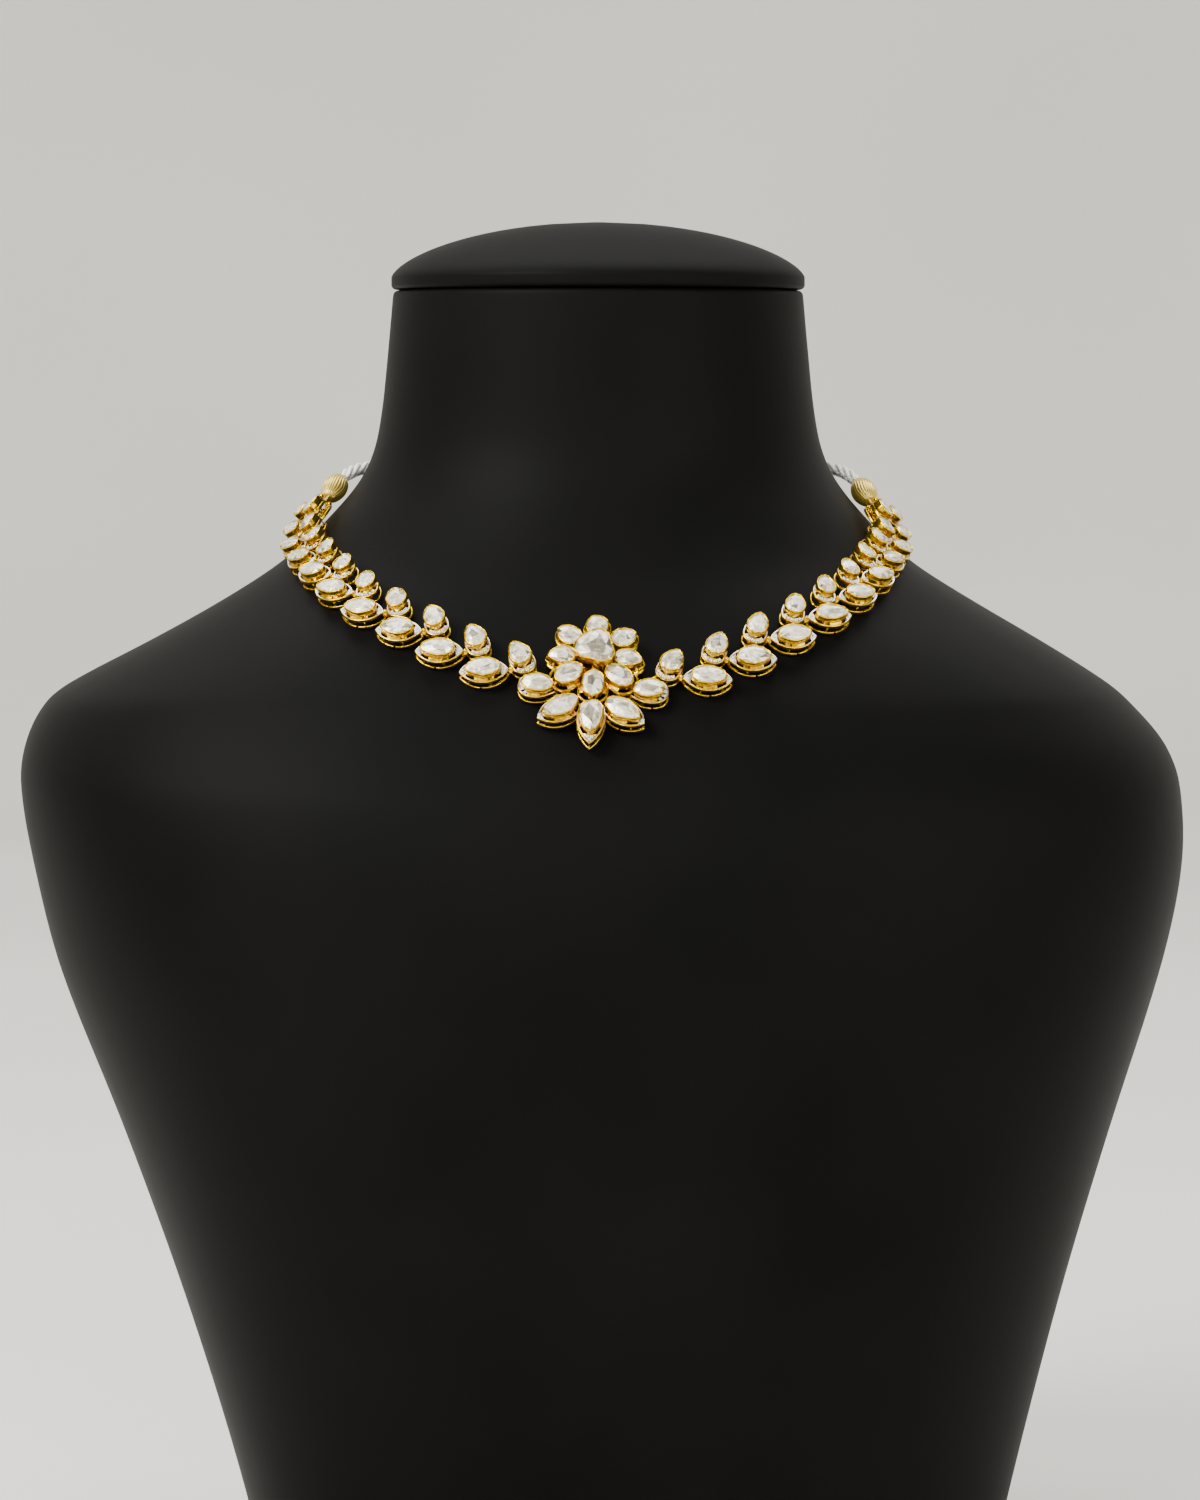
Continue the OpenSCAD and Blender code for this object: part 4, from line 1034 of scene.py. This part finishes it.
stones = {"centre_stone": (HEART, flat_turn(HEART_TURN, (0, 0, TIER)), 0, HEART_RIM)}
for i, row in enumerate(CROWN_ROWS):
    gem = (CROWN_L * row[3], CROWN_W * row[4], row[5], 0.02, 0, 11 + i)
    crown = Piece()
    cup(crown, gem, RAIL_T, WALL_LOW, CUP_RIM)
    gallery(crown, gem, TOP_RAIL)
    foot = [layer(stone_line(gem, grow), z) for grow, z in ((0.75, -TIER + 0.1), (0.75, 0.5), (0.45, 0.8))]
    crown.loft(foot)
    flower.place(crown, at_petal(row, CROWN_R, TIER))
    stones[f"crown_stone_{i + 1}"] = (gem, at_petal(row, CROWN_R, TIER), 0, CUP_RIM)
cup_and_rail = 2 * (STONE_GAP + CUP_WALL + RAIL_W)
inner_frame = (INNER_L + cup_and_rail + 1, INNER_W + cup_and_rail + 0.5)
for i, row in enumerate(INNER_ROWS):
    gem = (INNER_L, INNER_W, 0, 0.02, 0, 21 + i)
    petal = setting(ROUND_OUT, inner_frame, gem, 0, [(inner_frame[0] / 2 - 0.5 * RAIL_W, 0)],
                    0.1 * inner_frame[0], TIER, plates=(), bright=False)
    tie = Piece()
    bar(tie, 0, (inner_frame[0] - INNER_L) / 4 - 0.05, TIER)
    petal.place(tie, flat_turn(90, ((inner_frame[0] + INNER_L) / 4 + 0.1, 0)))
    flower.place(petal, at_petal(row, INNER_R))
    stones[f"inner_stone_{i + 1}"] = (gem, at_petal(row, INNER_R, TIER), 0, CUP_RIM)
for i, row in enumerate(OUTER_ROWS):
    size = (OUTER_L * row[3], OUTER_W * row[4])
    gem, gem_x = outer_gem(i)
    lift = PETAL_LAP if row[5] == PEAR else 0
    petal = setting(row[5], size, gem, gem_x, petal_posts(row[5], size), 0.1 * size[0], lift, plates=(1,))
    flower.place(petal, at_petal(row, OUTER_R))
    stones[f"outer_stone_{i + 1}"] = (gem, at_petal(row, OUTER_R, lift), gem_x, CUP_RIM)
# A post in each side petal holds the first ring. Both come from the right one, mirrored
SIDE_POST_ALONG, SIDE_POST_IN = 0.12, 0.03
side_post = [SIDE_POST_ALONG * size[0], size[1] / 2 - RAIL_W / 2 - SIDE_POST_IN * size[0], 0]
corner = at_petal(OUTER_ROWS[-1], OUTER_R)(np.array([side_post]))[0]
SIDE_POSTS = {side: (side * corner[0], corner[1]) for side in SIDE_NAMES}
for x, y in SIDE_POSTS.values():
    post(flower, x, y, RAIL_T / 2, TOP_RAIL + RAIL_T / 2)
flower.move(flower_space)
flower.make("pendant_gold", SETTING_FINISHES, "pendant_frame", "gold")
print("pendant faces:", len(flower.faces))

# %% Lay the flower's stones in
for name, (gem, way, x, rim) in stones.items():
    stone = uncut_stone(gem, rim)
    # The middle stone is the greyest of all in the photo
    # Its facets' painted reflections are made darker
    stone.tone = [t * (0.7 if name == "centre_stone" else 1) for t in stone.tone]
    stone.move(lambda p: flower_space(way(p + np.array([x, 0, 0]))))
    stone.make(name + "_polished", [uncut], name, "uncut_stone")
print("flower stones:", len(stones))

# %% [markdown]
# ## Rings
# Each jump ring is a round of gold wire that goes through two settings behind their posts.
# Its plane lies between those of the two links that it joins. The last ring on each side
# hangs in a larger end ring, which a cluster of gold grains covers, as the maker hides a
# join with granulation.

# %% Bend the rings
RING_R, RING_WIRE, RING_GAP = 1.5, 0.25, 0.15
RING_LEVEL = RAIL_T + RAIL_GAP / 2
END_RING_R, RING_SLACK = 1.8, 0.55
ZARI_L, ZARI_W, ZARI_CUT = 10, 6.6, 0.82
LOOP_R, LOOP_WIRE = 1.35, 0.35
# How far the rings, the thread bead's loop and its middle lie from the last post
LAST_RING_X = RING_R - RING_WIRE - POST_R - RING_GAP
END_RING_X = LAST_RING_X + RING_R + END_RING_R - 2 * RING_WIRE - RING_GAP - RING_SLACK
LOOP_X = END_RING_X + END_RING_R + LOOP_R - RING_WIRE - LOOP_WIRE - RING_GAP - RING_SLACK
ZARI_X = LOOP_X + LOOP_R + ZARI_L / 2 - LOOP_WIRE / 2


def wire_ring(piece, centre, axis_a, axis_b, radius, wire, around=32, across=10):
    """A ring of round wire in the plane of two axes."""
    normal = np.cross(axis_a, axis_b)
    rings = []
    for spot in hoop(centre, axis_a, axis_b, radius, around):
        rings.append(hoop(spot, (spot - centre) / radius, normal, wire, across))
    piece.loft(rings, along=True)


def leaf_post_spot(k):
    return flat_turn(-LEAF_TURN, leaf_middle(k))(np.array([[*hook_spot(k), RING_LEVEL]]))[0]


def pear_post_spot(k):
    spot = pear_middle(k) - along_turn(PEAR_SIZE[0] * link_share(k) / 2 - RAIL_W / 2, PEAR_TURN)
    return np.array([*spot, RING_LEVEL])


def end_place(name):
    """The last post, way along and way out of a side. Its end ring and thread bead lie on one line."""
    ring, ways = faces_of(name + "_end_ring")
    along = unit(faces_of(name + "_zari_bead")[0] - ring)
    return ring - along * END_RING_X, along, facing([np.cross(ways[2], along)], ring)


END_PLACES = {side: end_place(name) for side, name in SIDE_NAMES.items()}
X_AXIS, Y_AXIS, Z_AXIS = np.eye(3)
for side, name in SIDE_NAMES.items():
    rings = Piece()
    for k in range(1, LINKS + 1):
        space = spaced(*PLACES[side][k - 1], side)
        if k == 1:
            first, before = flower_space([*SIDE_POSTS[side], RING_LEVEL]), FLOWER[2]
        else:
            first = spaced(*PLACES[side][k - 2], side)(leaf_post_spot(k - 1))
            before = PLACES[side][k - 2][2]
        last = space(pear_post_spot(k))
        out = unit(before + PLACES[side][k - 1][2])
        way = last - first
        radius = max(RING_R, np.linalg.norm(way) / 2 + POST_R + RING_WIRE + RING_GAP)
        along = unit(way - out * (way @ out))
        wire_ring(rings, (first + last) / 2, along, np.cross(out, along), radius, RING_WIRE)
    last_space = spaced(*END_PLACES[side], side)
    hung = Piece()
    wire_ring(hung, X_AXIS * LAST_RING_X, X_AXIS, Y_AXIS, RING_R, RING_WIRE)
    rings.place(hung, last_space)
    rings.make(name + "_wire_rings", [gold], name + "_jump_rings", "gold")
    end = Piece()
    wire_ring(end, X_AXIS * END_RING_X, X_AXIS, Z_AXIS, END_RING_R, RING_WIRE, 40)
    # Granulation: pairs of balls at these turns, with these radii
    out = END_RING_R + 0.12
    for turn, radius in ((48, 0.74), (88, 0.8), (128, 0.74), (-50, 0.7), (-88, 0.74), (-128, 0.7)):
        a = math.radians(turn)
        for lean in (-0.6, 0.6):
            grain(end, END_RING_X + out * math.cos(a), lean, out * math.sin(a), radius, GOLD)
    end.move(last_space)
    end.make(name + "_granulated_ring", [gold], name + "_end_ring", "gold")
    print(name, "rings:", len(rings.faces), "faces")

# %% [markdown]
# ## Thread beads
# Zari is silk or cotton wound with flat gilded strip. Here it is wrapped lengthwise over a
# wooden bead, so the bead shows fine ribs that meet at its ends under a winding of the same
# thread. The ribs are real geometry, and they turn a little round the bead. Their grooves
# are painted dark as shade and their crests light as painted highlights.

# %% Wind the thread beads
# Gilt strip shines like metal, but the silk between its turns keeps it soft
zari, shader = new_finish("zari_gilt_thread_wound")
place = add_node(zari, "TexCoord").outputs["Object"]
tone = add_node(zari, "Attribute", attribute_name="tone").outputs["Fac"]
fibre = add_node(zari, "TexNoise", {"Vector": place}, Scale=1 / (0.3 * MM), Detail=4.0)
twist = add_node(zari, "Bump", {"Height": fibre}, Strength=0.5, Distance=0.1 * MM)
# Dark stops are painted shade in the grooves between ribs, light ones painted highlights on the crests
colour = add_node(zari, "ValToRGB", {"Fac": tone},
                  [(0.0, "#8A6812"), (0.4, "#C9A638"), (0.7, "#E6CC62"), (1.0, "#F8E896")])
set_node(zari, shader, {"Base Color": colour, "Normal": twist}, Metallic=0.75, Roughness=0.3)

# Real gilt thread is about 0.3 mm thick. Its ribs are drawn 0.8 mm wide, so that they show
RIBS = 26
for side, name in SIDE_NAMES.items():
    bead = Piece()
    chance = np.random.default_rng(61 + side)
    heights = np.repeat(chance.uniform(0, 1, RIBS), 4)
    big = arc_radius(ZARI_L / 2 / ZARI_CUT, ZARI_W / 2)
    rings = []
    for x in ZARI_L / 2 * np.sin(np.linspace(-np.pi / 2, np.pi / 2, 25)):
        radius = math.sqrt(big ** 2 - x ** 2) - big + ZARI_W / 2
        angles = np.linspace(0, 2 * np.pi, RIBS * 4, endpoint=False)
        rib = np.abs(np.sin(RIBS * angles / 2)) ** 0.8
        r = radius * (0.9 + (0.06 + 0.04 * heights) * rib)
        turned = angles + 0.05 * x + 0.05 * heights * math.sin(x)
        rings.append(round_x(x + ZARI_X, r, turned))
    bead.loft(rings)
    # Faces in a groove get painted shade, faces on a crest painted highlight, brighter on higher ribs
    for i in range(len(bead.faces)):
        place = i % (RIBS * 4)
        bead.tone[i] = (0.3, 0.7, 0.7, 0.3)[place % 4] + 0.25 * heights[place] * chance.uniform(0.4, 1)
    # Two turns of thread bind each end
    for x in (-4.8, -4.35, 4.35, 4.8):
        wire_ring(bead, X_AXIS * (ZARI_X + x), Y_AXIS, Z_AXIS, 1.5 - 0.25 * (abs(x) - 4), 0.24, 24, 8)
    wire_ring(bead, X_AXIS * LOOP_X, X_AXIS, Y_AXIS, LOOP_R, LOOP_WIRE)
    bead.move(spaced(*END_PLACES[side], side))
    bead.make(name + "_zari_wound_bead", [zari], name + "_zari_bead", "gold_thread")
print("zari bead faces:", len(bead.faces))

# %% [markdown]
# ## The back strands
# Behind the neck the necklace is a bundle of five strings of tiny white glass seed beads,
# twisted together. The CAD model has one tube there, a loft of ten-sided rings, and the
# rings' middles are read back as the bundle's route. Each string is a helix round that line,
# and every bead is a small squashed ball, threaded at its own angle.

# %% String the seed beads
# Opaque glass is glossy, and beads of one batch differ a little in white
glass = mottled("opaque_white_glass_seed_bead", 1.3 * MM, 1.0, [(0.3, "#F6F3EA"), (0.6, "#FFFFFC")],
                Roughness=0.18, IOR=1.5, Coat_Weight=0.3, Coat_Roughness=0.08)
# Twisted cotton is matt, and a little yellower than the beads that it carries
cotton = mottled("white_cotton_thread_twisted", 0.2 * MM, 3.0, [(0.3, "#CFC8B4"), (0.7, "#E9E4D6")],
                 Roughness=0.8)

TUBE_SIDES = 10
BEAD_WIDTH, BEAD_PITCH = 1.35, 1.12
STRINGS, HELIX_R, TWIST_LENGTH = 5, 1.1, 24
# The strings close in on the cotton core over this length at each end
CORE_R, PATH_STEP, EASE_LENGTH = 0.5, 0.25, 4
# The cotton's number among the finishes of a strand
COTTON = 1


def strand_route(side):
    """The middles of the CAD tube's rings, from the thread bead round the neck to the clasp."""
    corners = corners_of(SIDE_NAMES[side] + "_back_strand")
    turn = np.arctan2(side * corners[:, 0], -corners[:, 1])
    return corners[np.argsort(turn)].reshape(-1, TUBE_SIDES, 3).mean(1)


def measure(line):
    """The length run at each point of a line."""
    return np.concatenate([[0], np.cumsum(np.linalg.norm(np.diff(line, axis=0), axis=1))])


def spot_at(at, run, line):
    """Points of a line at some lengths run."""
    return np.stack([np.interp(at, run, line[:, i]) for i in range(3)], -1)


def smooth_path(p):
    """A path through points, in even small steps, by way of a smooth curve."""
    p = np.vstack([2 * p[0] - p[1], p, 2 * p[-1] - p[-2]])
    out = []
    for i in range(1, len(p) - 2):
        for t in np.linspace(0, 1, 24, endpoint=False):
            a, b, c, d = p[i - 1:i + 3]
            bend = (2 * a - 5 * b + 4 * c - d) * t ** 2 + (3 * b - a - 3 * c + d) * t ** 3
            out.append(0.5 * (2 * b + (c - a) * t + bend))
    out = np.array(out + [p[-2]])
    run = measure(out)
    return spot_at(np.arange(0, run[-1], PATH_STEP), run, out)


def seed_bead(piece, centre, axis, width, length):
    """A squashed ball with its hole along an axis."""
    side_a = unit(np.cross(axis, Z_AXIS + 0.01))
    side_b = np.cross(axis, side_a)
    rings = []
    for tilt in np.radians([-64, -28, 28, 64]):
        middle = centre + axis * length / 2 * math.sin(tilt)
        rings.append(hoop(middle, side_a, side_b, width / 2 * math.cos(tilt), 8))
    piece.loft(rings)


for side, name in SIDE_NAMES.items():
    middle_line = smooth_path(strand_route(side))
    tangent = np.gradient(middle_line, axis=0)
    tangent /= np.linalg.norm(tangent, axis=1)[:, None]
    side_a = np.cross(tangent, Z_AXIS)
    side_a /= np.linalg.norm(side_a, axis=1)[:, None]
    side_b = np.cross(tangent, side_a)
    run = np.arange(len(middle_line)) * PATH_STEP
    ease = np.clip(np.minimum(run, run[-1] - run) / EASE_LENGTH, 0, 1)
    helix = CORE_R + (HELIX_R - CORE_R) * ease * (2 - ease)
    chance = np.random.default_rng(20 + side)
    strand = Piece()
    for string in range(STRINGS):
        phase = 2 * np.pi * (run / TWIST_LENGTH * side + string / STRINGS)
        out = side_a * np.cos(phase)[:, None] + side_b * np.sin(phase)[:, None]
        line = middle_line + helix[:, None] * out
        length = measure(line)
        for at in np.arange(0.5, length[-1] - 0.3, BEAD_PITCH):
            spot, ahead = spot_at([at, at + 0.4], length, line)
            width = BEAD_WIDTH * chance.uniform(0.92, 1.04)
            seed_bead(strand, spot, unit(ahead - spot + chance.normal(0, 0.03, 3)), width,
                      BEAD_PITCH * chance.uniform(0.88, 1.0))
    core = [hoop(middle_line[i], side_a[i], side_b[i], CORE_R, 8) for i in range(0, len(run), 6)]
    strand.loft(core, finish=COTTON)
    strand.make(name + "_seed_bead_strand", [glass, cotton], name + "_back_strand", "seed_beads")
    print(name, "strand:", len(strand.faces), "faces,", round(float(run[-1]), 1), "mm long")

# %% [markdown]
# ## The clasp
# The clasp at the nape is a small screw barrel. The CAD model has a plain stepped barrel. Its
# real finish is milled: ribs to grip, a fine seam where the halves part, and domed ends.

# %% Turn the barrel clasp
clasp_middle, clasp_ways = faces_of("nape_clasp")
clasp_along = clasp_ways[0]
clasp_out = np.array([clasp_middle[0], clasp_middle[1], 0])
clasp_out = unit(clasp_out - clasp_along * (clasp_out @ clasp_along))
# Half of the barrel as (distance from its middle, radius): seam, grip, groove and domed end
half = [(0.12, 2.3), (0.25, 2.48), (4.1, 2.45), (4.3, 2.3), (4.5, 2.45), (4.9, 2.42), (5.4, 2.2), (5.8, 1.75),
        (5.98, 1.2), (5.99, 0.5)]
angles = np.linspace(0, 2 * np.pi, 96, endpoint=False)
rings = []
for x, r in [(-x, r) for x, r in half[::-1]] + half:
    mill = 0.06 * np.abs(np.sin(12 * angles)) if 0.2 < abs(x) < 4.2 else 0
    rings.append(round_x(x, r - mill, angles))
barrel = Piece()
barrel.loft(rings)
barrel.move(spaced(clasp_middle, clasp_along, clasp_out))
barrel.make("nape_barrel_clasp", [gold], "nape_clasp", "gold")
print("clasp faces:", len(barrel.faces))

# %% [markdown]
# ## Floor and light
# The bust stands on a wide pale floor, which curves up all round like a studio cove, so no
# horizon shows from any side. A large soft light from the left models the bust, a weaker one
# fills in from the right, and two small ones put bright sparks on gold and stones. Four more
# point away from the bust and wash the wall.

# %% Build the cove
# Paper from a wide roll is matt, with clouds half a metre wide
paper = mottled("pale_matte_paper", 0.5, 1.0, [(0.3, "#DEDBD6"), (0.7, "#E6E3DE")],
                Roughness=0.9, Specular_IOR_Level=0.2)
COVE_MIDDLE, COVE_FLAT, COVE_BEND, COVE_TOP = 20, 2300, 1300, 3400
profile = [(COVE_MIDDLE, 0), (COVE_FLAT, 0)]
for turn in np.radians(np.arange(9, 91, 9)):
    profile.append((COVE_FLAT + COVE_BEND * math.sin(turn), COVE_BEND * (1 - math.cos(turn))))
profile.append((COVE_FLAT + COVE_BEND, COVE_TOP))
turns = np.radians(np.arange(0, 360, 5))
cove = Piece()
cove.loft([circle(r, z, turns) for r, z in profile], caps=False)
cove.add(circle(COVE_MIDDLE, 0, turns), [list(range(len(turns)))])
cove.build("cove", [paper])
print("cove:", len(cove.faces), "faces")

# %% Hang the lights
BUST_MIDDLE = (0, -0.03, 0.23)
# Name, place and width in metres, power in watts, and what it points at
LIGHTS = [(*light, BUST_MIDDLE) for light in (
    ("key", (-0.95, -0.85, 1.15), 0.7, 40), ("low", (-0.15, -1.25, 0.02), 0.8, 3.5),
    ("fill", (1.1, -1.0, 0.6), 0.6, 9), ("paper", (0.0, 0.35, 1.9), 1.4, 34),
    ("spark_left", (-0.35, -1.3, 0.75), 0.16, 4), ("spark_right", (0.45, -1.2, 0.9), 0.16, 4))]
for k, (x, y, power) in enumerate([(1, 1, 48), (-1, 1, 48), (-1, -1, 14), (1, -1, 14)]):
    LIGHTS.append((f"wall_{k + 1}", (1.5 * x, 1.5 * y, 2.7), 1.2, power, (2.6 * x, 2.6 * y, 0.2)))
for name, spot, size, power, target in LIGHTS:
    lamp = bpy.data.lights.new(name, "AREA")
    lamp.size, lamp.energy = size, power
    lamp.color = linear("#FFFEFC")[:3]
    thing = bpy.data.objects.new(name, lamp)
    thing.location = spot
    aim(thing, Vector(target))
    bpy.context.scene.collection.objects.link(thing)
world = bpy.context.scene.world or bpy.data.worlds.new("world")
bpy.context.scene.world = world
world.use_nodes = True
sky = next(n for n in world.node_tree.nodes if n.type == "BACKGROUND")
sky.inputs["Color"].default_value = linear("#E6EAF2")
sky.inputs["Strength"].default_value = 0.12
print("lights:", len(LIGHTS))
